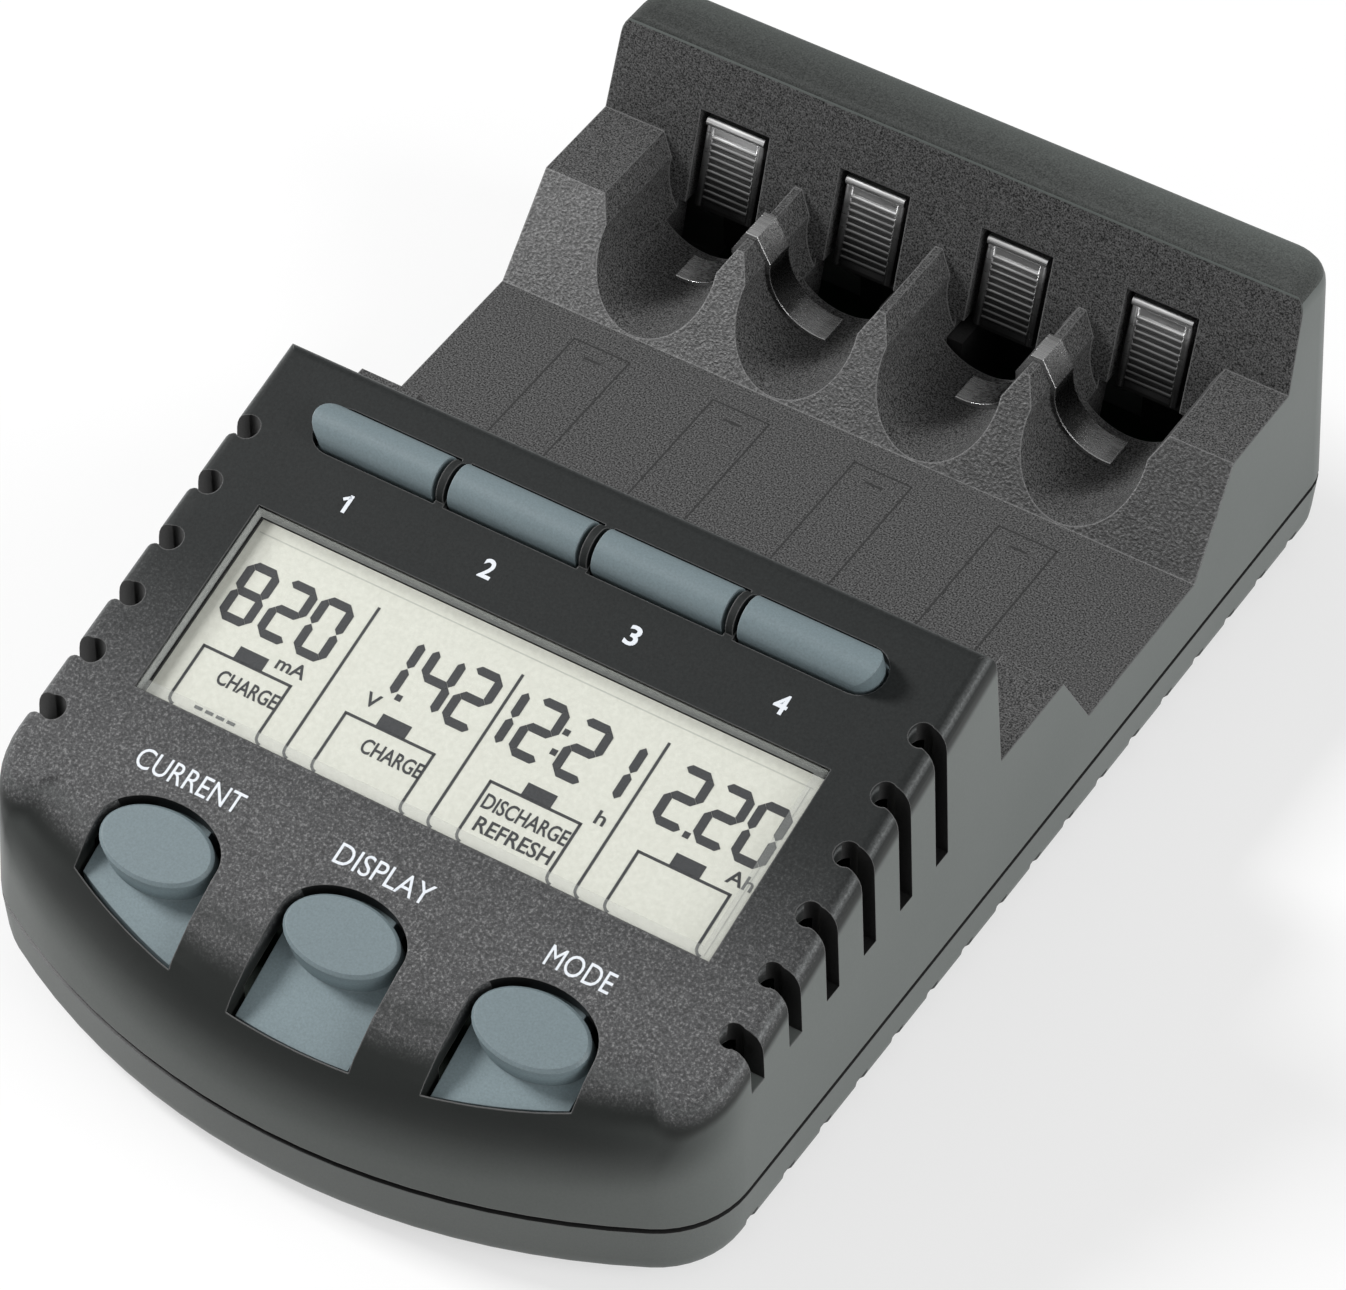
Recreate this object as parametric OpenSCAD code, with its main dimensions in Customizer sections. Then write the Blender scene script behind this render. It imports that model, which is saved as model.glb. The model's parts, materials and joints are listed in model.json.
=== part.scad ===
// Four-slot AA battery charger with a sloped control panel, a battery bay and sliding contacts.
// Millimetres. Origin on the table under the middle of the body, +Y to the rear, +Z up.

/* [Body] */
// Width of the body at the parting line
body_w = 75; // [72:0.5:82]
// Length of the control panel block, front bow to rear edge
panel_l = 57.6; // [57:0.2:62]
// Length of the battery bay, panel edge to the top of the rear wall
bay_l = 55; // [54:0.5:62]
// Depth of the rear block at its top
block_d = 8.4; // [8:0.2:12]
// Height of the panel's rear edge above the table
panel_h = 35.6; // [34:0.2:40]
// Slope of the control panel, degrees
panel_deg = 17.3; // [15:0.1:18]
// Height of the rear block above the table
block_h = 33.4; // [32:0.2:38]
// Height of the parting line above the table
split_z = 7.5; // [7:0.1:9]
// Thickness of the housing walls
wall = 2; // [1.6:0.1:2.2]
// Draft of the outer walls, degrees
draft_deg = 3; // [1:0.5:3.5]
// Plan radius of the bowed front
bow_r = 68; // [64:1:80]
// Plan radius of the front corners
front_corner_r = 9; // [8.8:0.2:10]
// Plan radius of the rear corners
rear_corner_r = 5.5; // [5:0.5:7]
// Reach of the rolled front edge over the panel
front_roll = 15; // [10:0.5:15]
// Reach of the rolled side edges
side_roll = 2.2; // [1.5:0.1:2.6]
// Reach of the rolled edges of the rear block
rear_roll = 3; // [2:0.1:3.4]
// Half width of the groove at the parting line
seam = 0.3; // [0.2:0.05:0.5]

/* [Battery bay] */
// Height of the bay floor above the table
floor_z = 14; // [13.6:0.1:14.6]
// Height of the cradle's step above the table
step_z = 23.3; // [22.8:0.1:24]
// Depth of the cradle's step
step_d = 10.3; // [9.5:0.1:11]
// Slope of the cradle's front face, degrees
cradle_deg = 53.4; // [50:0.5:58]
// Lean of the rear wall, degrees
wall_lean = 14.5; // [12:0.5:16]
// Distance between neighbouring battery slots
slot_pitch = 15.25; // [15:0.05:15.6]
// Radius of the groove bottoms
groove_r = 6.1; // [5.9:0.05:6.2]
// Half width of a groove at the step
groove_half_w = 7.25; // [7:0.05:7.3]
// Height of the side ledges above the table
ledge_z = 21.8; // [20:0.2:23]
// Depth of the side ledges
ledge_d = 10.8; // [8:0.2:12]

/* [Vents] */
// Number of vent slots on each side of the panel
vent_count = 6; // [3:1:6]
// Distance between neighbouring vent slots
vent_pitch = 5.95; // [5:0.05:6.2]
// Width of a vent slot
vent_w = 2; // [1.5:0.1:2.4]
// Depth of the vent slots, measured at the parting line
vent_depth = 4.3; // [3.6:0.1:4.6]
// Height of the vent slots' lower ends above the table
vent_z = 18.7; // [17:0.1:20]
// Number of vent notches along each bottom edge
notch_count = 17; // [10:1:17]
// Width of a bottom notch
notch_w = 1.8; // [1.2:0.1:2.2]

/* [Display] */
// Width of the display lens
lens_w = 58; // [54:0.5:59]
// Length of the display lens along the panel
lens_l = 19.8; // [18:0.2:20.4]
// Distance of the lens from the panel's rear edge, along the slope
lens_from_back = 16.1; // [15.6:0.1:17]
// Thickness of the lens
lens_t = 1.6; // [1.4:0.1:1.8]

/* [Keys] */
// Length of one slot key
slot_key_l = 13.1; // [12:0.1:13.4]
// Width of a slot key, the diameter of its barrel top
slot_key_w = 4.2; // [3.8:0.1:4.6]
// Distance between neighbouring slot keys
slot_key_pitch = 14.75; // [14.5:0.05:15]
// Distance of the slot keys from the panel's rear edge, along the slope
slot_key_from_back = 6.6; // [6.4:0.1:7]
// Width of a function key's oval pad
pad_w = 11.1; // [10.4:0.1:11.4]
// Length of a function key's oval pad, along the slope
pad_l = 7; // [6.6:0.1:7.4]
// Distance between neighbouring function keys
function_key_pitch = 18.95; // [18.6:0.05:19.2]
// Distance of the function keys from the panel's rear edge, along the slope
function_key_from_back = 47.9; // [47.4:0.1:48.4]
// Gap between the bowed front and the function keys' recesses
key_front_inset = 3.3; // [3:0.1:4]
// Travel of a pressed key
key_travel = 0.6; // [0.3:0.05:0.7]
// Running clearance round a slot key
key_gap = 0.35; // [0.3:0.05:0.45]
// Clearance round a function key
function_key_gap = 0.65; // [0.5:0.05:0.7]

/* [Contacts] */
// Width of the slots in the rear wall
wall_slot_w = 7.6; // [7.2:0.1:8]
// Height of the slots' upper ends above the table
wall_slot_z = 27; // [26:0.1:28]
// Running clearance on each side of a contact slider
slider_gap = 0.3; // [0.3:0.05:0.5]
// Travel of a contact slider, long cell to short cell
slider_travel = 6; // [5:0.25:6]
// Number of ribs on a negative contact plate
rib_count = 10; // [6:1:12]
// Thickness of the contact sheet
contact_t = 0.5; // [0.4:0.05:0.6]
// Width of a temperature strip along the slot
strip_w = 3.4; // [2.5:0.1:4]

/* [Inside and underside] */
// Thickness of the circuit boards
board_t = 1.6; // [1.2:0.1:1.8]
// Height of the rubber feet below the tray
foot_h = 0.8; // [0.6:0.1:1.2]
// Diameter of a rubber foot
foot_d = 9; // [7:0.5:10]
// Diameter of the housing screws
screw_d = 2.6; // [2.2:0.1:2.8]
// Diameter of the power inlet's socket
inlet_d = 6.3; // [5.5:0.1:6.5]
// Diameter of the power inlet's centre pin
inlet_pin_d = 2; // [1.6:0.1:2.5]

/* [Hidden] */
$fn = 48;

// Places along the body
body_l = panel_l + bay_l + block_d;
front_y = -body_l / 2;
rear_y = body_l / 2;
half_w = body_w / 2;
panel_back_y = front_y + panel_l;
block_front_y = rear_y - block_d;
bow_cy = front_y + bow_r;
corner_span = bow_r - front_corner_r;
corner_x = half_w - front_corner_r;
corner_c = [corner_x, bow_cy - sqrt(pow(corner_span, 2) - pow(corner_x, 2))];
bow_end = asin(corner_x / corner_span);
far = 200;
eps = 0.02;

// Small fixed details
panel_edge_r = 1.2;
block_edge_r = 0.9;
bow_steps = 10;
oval_steps = 24;
corner_steps = 8;
roll_steps = 6;
roof_lift = 0.3;
flank_h = 2.6;
flank_bite = 0.25;
ledge_deg = 60;
rest_gap = 0.05;
seam_depth = 0.7;

// Shell inside
top_inset = (panel_h - split_z) * tan(draft_deg);
inner_half_w = half_w - wall - top_inset;
front_wall = 6;
nose_drop = 1.2;
tray_draft_deg = 4;
tray_roll = 2.4;
tray_floor = 1.8;
tray_top_z = foot_h + tray_floor;
notch_depth = 4;
notch_h = 2.4;
vent_end_swell = 0.15;
vent_rear = 9.3;
vent_rear_y = panel_back_y - vent_rear;
notch_front = 17.7;
notch_front_y = front_y + notch_front;

// Display stack, measured down from the panel plane
lens_mid = lens_from_back + lens_l / 2;
lens_gap = 0.1;
lens_ledge = 0.3;
lens_proud = 0.3;
lens_seat = lens_t - lens_proud;
lens_bevel = 0.9;
lens_bevel_h = 0.5;
lcd_gap = 0.1;
lcd_w = lens_w - 2 * (lens_ledge + lcd_gap);
lcd_l = lens_l - 2 * (lens_ledge + lcd_gap);
lcd_top = lens_seat + rest_gap;
lcd_t = 2.2;
frame_w = 1.2;
strip_bar = 2;
strip_bar_l = lcd_w - 5;
display_board_drop = 7.6;
display_board_w = 54;
board_edge_gap = 0.4;
display_board_front = 54.5;
display_board_back = 5.2;

// Keys and switches, measured from the panel plane
key_flange_t = 0.9;
key_foot = wall + key_flange_t;
function_key_foot = 5;
key_well_depth = 8;
barrel_lift = 0.1;
flange_w = 0.8;
fin_gap = 0.1;
base_lip = 0.15;
base_drop = 2.3;
base_deg = 9.5;
pad_drop = 0.1;
pad_rim = 0.3;
switch_side = 4.5;
dome_h = 0.5;

// Contacts
face_recess = 1.35;
lever_t = 2.4;
contact_margin = 0.35;
plate_band = 1.7;
plate_rim_r = 0.4;
rib_r = 0.25;
rib_pitch = 0.72;
stem_w = 4;
stem_t = 2;
stem_drop = 4.5;
stem_foot_z = floor_z - stem_drop;
plus_w = 8;
plus_h = 10;
nub_d = 4.4;
nub_tip_d = 3.4;
nub_h = 0.8;
strip_gap = 0.04;
strip_inset = 8.4;

// Circuit boards and what holds them
board_post_h = 1.6;
main_board_z = tray_top_z + board_post_h;
board_top_z = main_board_z + board_t + 2 * rest_gap;
main_board_w = 53;
board_hole_inset = 2.5;
board_hole_front = 12;
board_hole_rear = 24.3;
main_board_front = 44;
board_rear_gap = 4.2;
link_w = 20;
link_t = 0.8;
link_y = -24;
link_h = 40;
chip_side = 12;
chip_t = 1.8;
chip_y = 8;
coil_d = 10;
coil_h = 7;
coil_bore = 3.4;
capacitor_r = 4;
capacitor_h = 11;
capacitor_groove = 0.3;
power_x = 13;
power_y = -12;
inlet_x = 0;
inlet_z = 11.6;
inlet_w = 9;
inlet_l = 10.4;
inlet_depth = 9;
inlet_rim = 0.45;
inlet_gap = 0.3;
inlet_mouth_d = inlet_d + 2 * inlet_rim;
inlet_y = rear_y - wall - top_inset - rest_gap;
inlet_top_z = inlet_z + inlet_d / 2 + 1;

// Screws and feet
boss_r = 3;
tray_boss_r = 4;
screw_fit = 0.06;
screw_head_d = 4.8;
screw_head_h = 1.6;
screw_l = 8;
pilot_h = 7;
head_gap = 0.15;
head_top_z = 4;
board_screw_d = 2;
board_pilot = 0.8;
board_hole_gap = 0.2;
foot_edge = 0.4;
foot_seat = 0.5;
boss_inset = 6.5;
boss_rear = 22.5;
foot_inset = 13.5;
foot_front = 25;
foot_rear = 13;
boss_pts = [
    for (s = [-1, 1])
        for (y = [corner_c[1], rear_y - boss_rear])
            [s * (half_w - boss_inset), y]
];
board_screw_pts = [
    for (s = [-1, 1])
        for (y = [board_hole_front - main_board_front, rear_y - board_rear_gap - board_hole_rear])
            [s * (main_board_w / 2 - board_hole_inset), y]
];
foot_pts = [
    for (s = [-1, 1])
        for (y = [front_y + foot_front, rear_y - foot_rear])
            [s * (half_w - foot_inset), y]
];

slots = [for (i = [0:3]) (i - 1.5) * slot_pitch];
slot_keys = [for (i = [0:3]) (i - 1.5) * slot_key_pitch];
function_keys = [for (i = [-1:1]) i * function_key_pitch];

function mix(a, b, t) = a + (b - a) * t;
// Outward direction in plan for a turn from the front round to the rear
function outward(a) = [sin(a), -cos(a)];
// Point t of the quadratic curve from a to c that leaves and arrives along the lines through b
function roll_point(a, b, c, t) = mix(mix(a, b, t), mix(b, c, t), t);
function arc_points(c, r, from, to, steps) =
    [for (i = [0:steps]) let (a = mix(from, to, i / steps)) c + r * [cos(a), sin(a)]];

// Height of the rear wall's face in Y at a given height
function rear_wall_y(z) = block_front_y - (block_h - z) * tan(wall_lean);
// Y of the wall behind the panel at a given height
function panel_wall_y(z) = panel_back_y + (panel_h - z) * tan(draft_deg);
// Height of the panel plane, and of the roof line behind it
function roof(y) = y < panel_back_y
    ? panel_h + (y - panel_back_y) * tan(panel_deg)
    : mix(panel_h, block_h, min(1, (y - panel_back_y) / (bay_l - rear_corner_r)));

step_front_y = rear_wall_y(step_z) - step_d;
cradle_foot_y = step_front_y - (step_z - floor_z) / tan(cradle_deg);
groove_lift = 0.15;
groove_cz = floor_z + groove_lift + groove_r;
strip_y = rear_wall_y(step_z) - strip_inset;
well_d = 3.8;
well_side = 0.8;
well_h = 3.2;
well_front_y = rear_wall_y(step_z) - well_d;
well_half_w = wall_slot_w / 2 + well_side;
well_top_z = floor_z + well_h;
bay_half_w = 2 * slot_pitch;

// Right half of the plan outline as [x, y, outward angle], from the front round to the rear
half_outline = concat(
    [for (i = [0:bow_steps]) let (a = bow_end * i / bow_steps)
        [bow_r * sin(a), bow_cy - bow_r * cos(a), a]],
    [for (i = [1:corner_steps]) let (a = mix(bow_end, 90, i / corner_steps))
        concat(corner_c + front_corner_r * outward(a), a)],
    [for (y = [panel_back_y, block_front_y - rear_corner_r]) [half_w, y, 90]],
    [for (i = [0:corner_steps]) let (a = 90 + 90 * i / corner_steps)
        concat([half_w, rear_y] - rear_corner_r * [1, 1] + rear_corner_r * outward(a), a)],
    [[0, rear_y, 180]]
);
half_n = len(half_outline);
ring_n = 2 * half_n - 2;
panel_stop = bow_steps + corner_steps + 1;

// Whole ring: the right half, then the left half back to the front
function ring_point(j) = j < half_n
    ? half_outline[j]
    : let (p = half_outline[ring_n - j]) [-p[0], p[1], -p[2]];

// Reach of the rolled edge for an outward angle
function edge_roll(a) = abs(a) < 90
    ? mix(side_roll, front_roll, pow(cos(a), 6))
    : mix(side_roll, rear_roll, pow(cos(a), 2));

// Inset and height of ring k of the upper shell at an outline point
function upper_section(p, k) =
    let (
        lean = tan(draft_deg),
        rise = p[1] < panel_back_y ? cos(p[2]) * tan(panel_deg) : 0,
        reach = edge_roll(p[2]),
        top_d = (roof(p[1]) - split_z) * lean / (1 - rise * lean),
        top_z = roof(p[1]) + rise * top_d,
        drop = min(reach * sqrt(1 + rise * rise), top_z - split_z - 2 * seam),
        low = [top_d - drop * lean, top_z - drop],
        lift = p[1] <= panel_back_y ? roof_lift : 0,
        high = [top_d + reach, top_z + rise * reach + lift]
    )
    k == 0 ? [seam_depth, split_z]
    : k == 1 ? [0, split_z + seam]
    : roll_point(low, [top_d, top_z], high, (k - 2) / roll_steps);

// Inset and height of ring k of the tray at an outline point
function tray_section(p, k) =
    let (
        lean = tan(tray_draft_deg),
        low_d = (split_z - foot_h) * lean,
        start = [low_d - tray_roll * lean, foot_h + tray_roll]
    )
    k == 0 ? [seam_depth, split_z]
    : k == 1 ? [0, split_z - seam]
    : roll_point(start, [low_d, foot_h], [low_d + tray_roll, foot_h], (k - 2) / roll_steps);

function place(p, s) = [p[0] - s[0] * sin(p[2]), p[1] + s[0] * cos(p[2]), s[1]];

// Two triangles for each cell between rings k and k + 1
function skin(rings) = [for (k = [0:rings - 2]) for (j = [0:ring_n - 1])
    let (a = k * ring_n + j, b = k * ring_n + (j + 1) % ring_n)
    for (f = [[a, b, b + ring_n], [a, b + ring_n, a + ring_n]]) f];

function flipped(faces) = [for (f = faces) [for (i = [len(f) - 1:-1:0]) f[i]]];

// Faces across the top ring: the panel, the roof strip behind it and the top of the rear block
function roof_faces(base) =
    let (strip_end = panel_stop + 1, mirror_of = function (j) j == 0 ? 0 : ring_n - j)
    [
        concat([for (j = [0:panel_stop]) base + j],
            [for (j = [panel_stop:-1:1]) base + mirror_of(j)]),
        [base + panel_stop, base + strip_end, base + mirror_of(strip_end), base + mirror_of(panel_stop)],
        concat([for (j = [strip_end:half_n - 1]) base + j],
            [for (j = [half_n - 2:-1:strip_end]) base + mirror_of(j)])
    ];

// Closed solid lofted up from the parting line: drafted walls that roll over into the roof
module upper_skin() {
    rings = roll_steps + 3;
    polyhedron(
        points = [for (k = [0:rings - 1]) for (j = [0:ring_n - 1])
            place(ring_point(j), upper_section(ring_point(j), k))],
        faces = flipped(concat(
            [[for (j = [ring_n - 1:-1:0]) j]],
            skin(rings),
            roof_faces((rings - 1) * ring_n)
        ))
    );
}

// Closed solid lofted down from the parting line to the flat underside
module tray_skin() {
    rings = roll_steps + 3;
    polyhedron(
        points = [for (k = [0:rings - 1]) for (j = [0:ring_n - 1])
            place(ring_point(j), tray_section(ring_point(j), k))],
        faces = concat([[for (j = [ring_n - 1:-1:0]) j]], skin(rings),
            [[for (j = [0:ring_n - 1]) (rings - 1) * ring_n + j]])
    );
}

// Children drawn on the panel plane: y runs up the slope to the rear edge, z points out of the panel
module on_panel(y = 0, z = 0) {
    translate([0, panel_back_y, panel_h]) rotate([panel_deg, 0, 0]) translate([0, y, z]) children();
}

// Children drawn in Y and Z, extruded across the body between two X places
module across(from, to) {
    translate([from, 0, 0]) rotate([90, 0, 90]) linear_extrude(to - from) children();
}

// Children drawn in X and Z, extruded along the body between two Y places
module along(from, to) {
    translate([0, to, 0]) rotate([90, 0, 0]) linear_extrude(to - from) children();
}

// Plan of the inside of the shells, kept clear of the drafted walls and the rolled front
module inner_plan() {
    intersection() {
        translate([0, bow_cy]) circle(bow_r - front_wall, $fn = 96);
        translate([-inner_half_w, front_y]) square([2 * inner_half_w, body_l - wall - top_inset]);
    }
}

// Rounds a corner q between unit directions u and w that run away from it
function edge_centre(q, u, w, r) = q + (u + w) * r / abs(cross(u, w));

// Space over the bay in Y and Z: panel edge, wall, floor, cradle face, step and rear wall
module bay_profile(with_ledge) {
    foot_z = with_ledge ? ledge_z : floor_z;
    panel_c = edge_centre([panel_back_y, panel_h], -[cos(panel_deg), sin(panel_deg)],
        [sin(draft_deg), -cos(draft_deg)], panel_edge_r);
    block_c = edge_centre([block_front_y, block_h], [1, 0],
        -[sin(wall_lean), cos(wall_lean)], block_edge_r);
    panel_arc = arc_points(panel_c, panel_edge_r, 90 + panel_deg, draft_deg, 5);
    block_arc = arc_points(block_c, block_edge_r, 180 - wall_lean, 90, 5);
    ledge_end_y = panel_wall_y(ledge_z) + ledge_d;
    ledge_run = (ledge_z - floor_z) / tan(ledge_deg);
    polygon(concat(
        [[panel_arc[0][0], far]],
        panel_arc,
        [[panel_wall_y(foot_z), foot_z]],
        with_ledge ? [[ledge_end_y, ledge_z], [ledge_end_y + ledge_run, floor_z]] : [],
        [[cradle_foot_y, floor_z], [step_front_y, step_z], [rear_wall_y(step_z), step_z]],
        block_arc,
        [[block_arc[len(block_arc) - 1][0], far]]
    ));
}

module bay_space() {
    across(-bay_half_w, bay_half_w) bay_profile(false);
    for (s = [0, 1]) mirror([s, 0, 0]) across(bay_half_w - eps, far) bay_profile(true);
}

// Groove section in X and Z: a round bottom with flanks that open out to the step
module groove_section(inset = 0) {
    foot = [groove_r - flank_bite, step_z - flank_h];
    top = [groove_half_w, step_z];
    slope = (top[0] - foot[0]) / flank_h;
    high = step_z + 1;
    low_x = foot[0] - inset;
    high_x = low_x + slope * (high - foot[1]);
    translate([0, groove_cz]) circle(groove_r - inset);
    polygon([[-low_x, foot[1]], [low_x, foot[1]], [high_x, high], [-high_x, high]]);
}

module grooves() {
    low_z = floor_z - 1;
    high_z = step_z + 2;
    start_y = cradle_foot_y - 1;
    intersection() {
        along(start_y, rear_y) for (x = slots) translate([x, 0]) groove_section();
        across(-far, far) polygon([
            [start_y, low_z], [rear_wall_y(low_z), low_z], [rear_wall_y(high_z), high_z], [start_y, high_z]
        ]);
    }
}

// Wells under the groove ends and slots in the rear wall, where the contact sliders run
module slider_openings() {
    low_z = floor_z - wall - 1;
    back_y = block_front_y + wall + 1;
    for (x = slots) {
        translate([x - well_half_w, well_front_y, low_z])
            cube([2 * well_half_w, back_y - well_front_y, well_top_z - low_z]);
        translate([x - wall_slot_w / 2, well_front_y, well_top_z - 1])
            cube([wall_slot_w, back_y - well_front_y, wall_slot_z - well_top_z + 1]);
    }
}

// Room inside the upper shell, open at the parting line
module upper_cavity() {
    nose_y = front_y + front_wall;
    panel_skin = wall / cos(panel_deg);
    intersection() {
        translate([0, 0, split_z - 1]) linear_extrude(far) inner_plan();
        across(-far, far) polygon([
            [nose_y, split_z - 1], [nose_y, roof(nose_y) - panel_skin - nose_drop],
            [front_y + front_roll, roof(front_y + front_roll) - panel_skin],
            [panel_back_y - wall, roof(panel_back_y - wall) - panel_skin],
            [panel_wall_y(floor_z) - wall, floor_z - wall],
            [rear_wall_y(floor_z - wall) + wall / cos(wall_lean), floor_z - wall],
            [rear_wall_y(block_h - wall) + wall / cos(wall_lean), block_h - wall],
            [rear_y, block_h - wall], [rear_y, split_z - 1]
        ]);
    }
}

// Outline of a bar with chosen round ends, centred
module bar_plan(l, w, round_left, round_right) {
    r = w / 2;
    polygon(concat(
        round_right ? arc_points([l / 2 - r, 0], r, -90, 90, 12) : [[l / 2, -r], [l / 2, r]],
        round_left ? arc_points([-l / 2 + r, 0], r, 90, 270, 12) : [[-l / 2, r], [-l / 2, -r]]
    ));
}

// Points on the rear half of a function key's oval, widened by a gap
function half_oval(gap) = [for (i = [0:oval_steps]) let (a = 180 * i / oval_steps)
    [(pad_w / 2 + gap) * cos(a), (pad_l / 2 + gap) * sin(a)]];

// Outline of a function key's oval pad
module oval_plan() {
    rear = half_oval(0);
    polygon(concat(rear, [for (i = [1:oval_steps - 1]) -rear[i]]));
}

// Outline of a function key's recess: oval behind, straight sides running forward
module recess_plan(gap) {
    side_x = pad_w / 2 + gap;
    polygon(concat(half_oval(gap), [[-side_x, -far / 4], [side_x, -far / 4]]));
}

// Upright drum that gives recesses and key bases their bowed front edge
module bow_drum(inset) {
    translate([0, bow_cy, 0]) cylinder(r = bow_r - inset, h = far, $fn = 96);
}

// Children's outline stood on the panel at a function key, from low to high
module function_key_column(x, low, high) {
    on_panel(-function_key_from_back, low) translate([x, 0, 0]) linear_extrude(high - low) children();
}

module panel_openings() {
    // Lens pocket and the window under it
    on_panel(-lens_mid) {
        translate([-lens_w / 2 - lens_gap, -lens_l / 2 - lens_gap, -lens_seat])
            cube([lens_w + 2 * lens_gap, lens_l + 2 * lens_gap, far]);
        translate([-lens_w / 2 + lens_ledge, -lens_l / 2 + lens_ledge, -2 * wall])
            cube([lens_w - 2 * lens_ledge, lens_l - 2 * lens_ledge, far]);
    }
    for (i = [0:3])
        on_panel(-slot_key_from_back, -2 * wall) translate([slot_keys[i], 0, 0]) linear_extrude(far / 4)
            bar_plan(slot_key_l + 2 * key_gap, slot_key_w + 2 * key_gap, i == 0, i == 3);
    for (x = function_keys) intersection() {
        function_key_column(x, -key_well_depth, far / 4) recess_plan(function_key_gap);
        bow_drum(key_front_inset);
    }
}

// Arched fins between the slot keys
module key_dividers() {
    fin_w = slot_key_pitch - slot_key_l - 2 * (key_gap + fin_gap);
    for (i = [0:2])
        on_panel(-slot_key_from_back) translate([(slot_keys[i] + slot_keys[i + 1] - fin_w) / 2, 0, 0])
            rotate([0, 90, 0]) cylinder(d = slot_key_w, h = fin_w);
}

module vent_slots() {
    end_r = vent_w / 2 + vent_end_swell;
    for (s = [0, 1]) mirror([s, 0, 0]) for (i = [0:vent_count - 1])
        translate([half_w - vent_depth, vent_rear_y - i * vent_pitch, vent_z]) {
            translate([end_r, -vent_w / 2, 0]) cube([far, vent_w, far]);
            translate([end_r, 0, 0]) cylinder(r = end_r, h = far, $fn = 24);
        }
}

module upper_bosses() {
    for (p = boss_pts) translate([p[0], p[1], split_z])
        cylinder(r = boss_r, h = min(roof(p[1]), p[1] > panel_back_y ? floor_z : far) - wall / 2 - split_z);
}

// Mouth in the rear wall and the room the power inlet takes inside
module inlet_opening() {
    translate([inlet_x, rear_y + 1, inlet_z]) rotate([90, 0, 0])
        cylinder(d = inlet_mouth_d, h = inlet_l);
    translate([inlet_x - inlet_w / 2 - inlet_gap, inlet_y - inlet_l - inlet_gap, split_z - 1])
        cube([inlet_w + 2 * inlet_gap, inlet_l, inlet_top_z + inlet_gap - split_z + 1]);
}

// One moulding: panel, bay, cradle and rear block
module upper_housing() {
    color("#34373a") difference() {
        union() {
            difference() {
                upper_skin();
                on_panel() translate([-far / 2, -far, 0]) cube(far);
                bay_space();
                upper_cavity();
            }
            upper_bosses();
            key_dividers();
        }
        grooves();
        slider_openings();
        panel_openings();
        vent_slots();
        for (p = boss_pts)
            translate([p[0], p[1], split_z - 1]) cylinder(d = screw_d + screw_fit, h = pilot_h + 1);
        inlet_opening();
    }
}

// Vent notches that wrap round the tray's bottom edges
module bottom_notches() {
    for (s = [0, 1]) mirror([s, 0, 0]) for (i = [0:notch_count - 1])
        translate([half_w - notch_depth, notch_front_y + i * vent_pitch - notch_w / 2, -eps])
            cube([far, notch_w, foot_h + notch_h]);
}

module lower_housing() {
    color("#3a3d40") difference() {
        union() {
            difference() {
                tray_skin();
                translate([0, 0, tray_top_z]) linear_extrude(far) inner_plan();
            }
            for (p = boss_pts)
                translate([p[0], p[1], foot_h + eps])
                    cylinder(r = tray_boss_r, h = split_z - foot_h - 2 * rest_gap);
            for (p = board_screw_pts)
                translate([p[0], p[1], tray_top_z - eps]) cylinder(r = boss_r, h = board_post_h + eps);
        }
        for (p = boss_pts) translate([p[0], p[1], 0]) {
            cylinder(d = screw_d + screw_fit, h = far);
            cylinder(d = screw_head_d + 2 * head_gap, h = head_top_z);
        }
        for (p = board_screw_pts)
            translate([p[0], p[1], tray_top_z - board_pilot]) cylinder(d = board_screw_d, h = far);
        for (p = foot_pts)
            translate([p[0], p[1], 0]) cylinder(d = foot_d + 2 * head_gap, h = foot_h + foot_seat);
        bottom_notches();
    }
}

// Clear plate with a bevelled rim
module lcd_lens() {
    low = -lens_seat;
    rim = lens_t - lens_bevel_h;
    color("#b9c0bd") on_panel(-lens_mid, low) intersection() {
        across(-lens_w / 2, lens_w / 2) polygon([
            [-lens_l / 2, 0], [lens_l / 2, 0], [lens_l / 2, rim], [lens_l / 2 - lens_bevel, lens_t],
            [-lens_l / 2 + lens_bevel, lens_t], [-lens_l / 2, rim]
        ]);
        along(-lens_l, lens_l) polygon([
            [-lens_w / 2, 0], [lens_w / 2, 0], [lens_w / 2, rim], [lens_w / 2 - lens_bevel, lens_t],
            [-lens_w / 2 + lens_bevel, lens_t], [-lens_w / 2, rim]
        ]);
    }
}

module lcd_cell() {
    color("#dcddd4") on_panel(-lens_mid, -lcd_top - lcd_t)
        translate([-lcd_w / 2, -lcd_l / 2, 0]) cube([lcd_w, lcd_l, lcd_t]);
}

// Frame round the cell that stands on the display board
module lcd_frame() {
    h = display_board_drop - wall - 2 * rest_gap;
    color("#e8e6df") on_panel(-lens_mid, -display_board_drop + rest_gap) difference() {
        translate([-lcd_w / 2 - frame_w, -lcd_l / 2 - frame_w, 0])
            cube([lcd_w + 2 * frame_w, lcd_l + 2 * frame_w, h]);
        translate([-lcd_w / 2 - rest_gap, -lcd_l / 2 - rest_gap, -1])
            cube([lcd_w + 2 * rest_gap, lcd_l + 2 * rest_gap, h + 2]);
    }
}

module connector_strip(side) {
    h = display_board_drop - lcd_top - lcd_t - 2 * rest_gap;
    color("#55504a") on_panel(-lens_mid + side * (lcd_l / 2 - strip_bar), -display_board_drop + rest_gap)
        translate([-strip_bar_l / 2, -strip_bar / 2, 0]) cube([strip_bar_l, strip_bar, h]);
}

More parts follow.
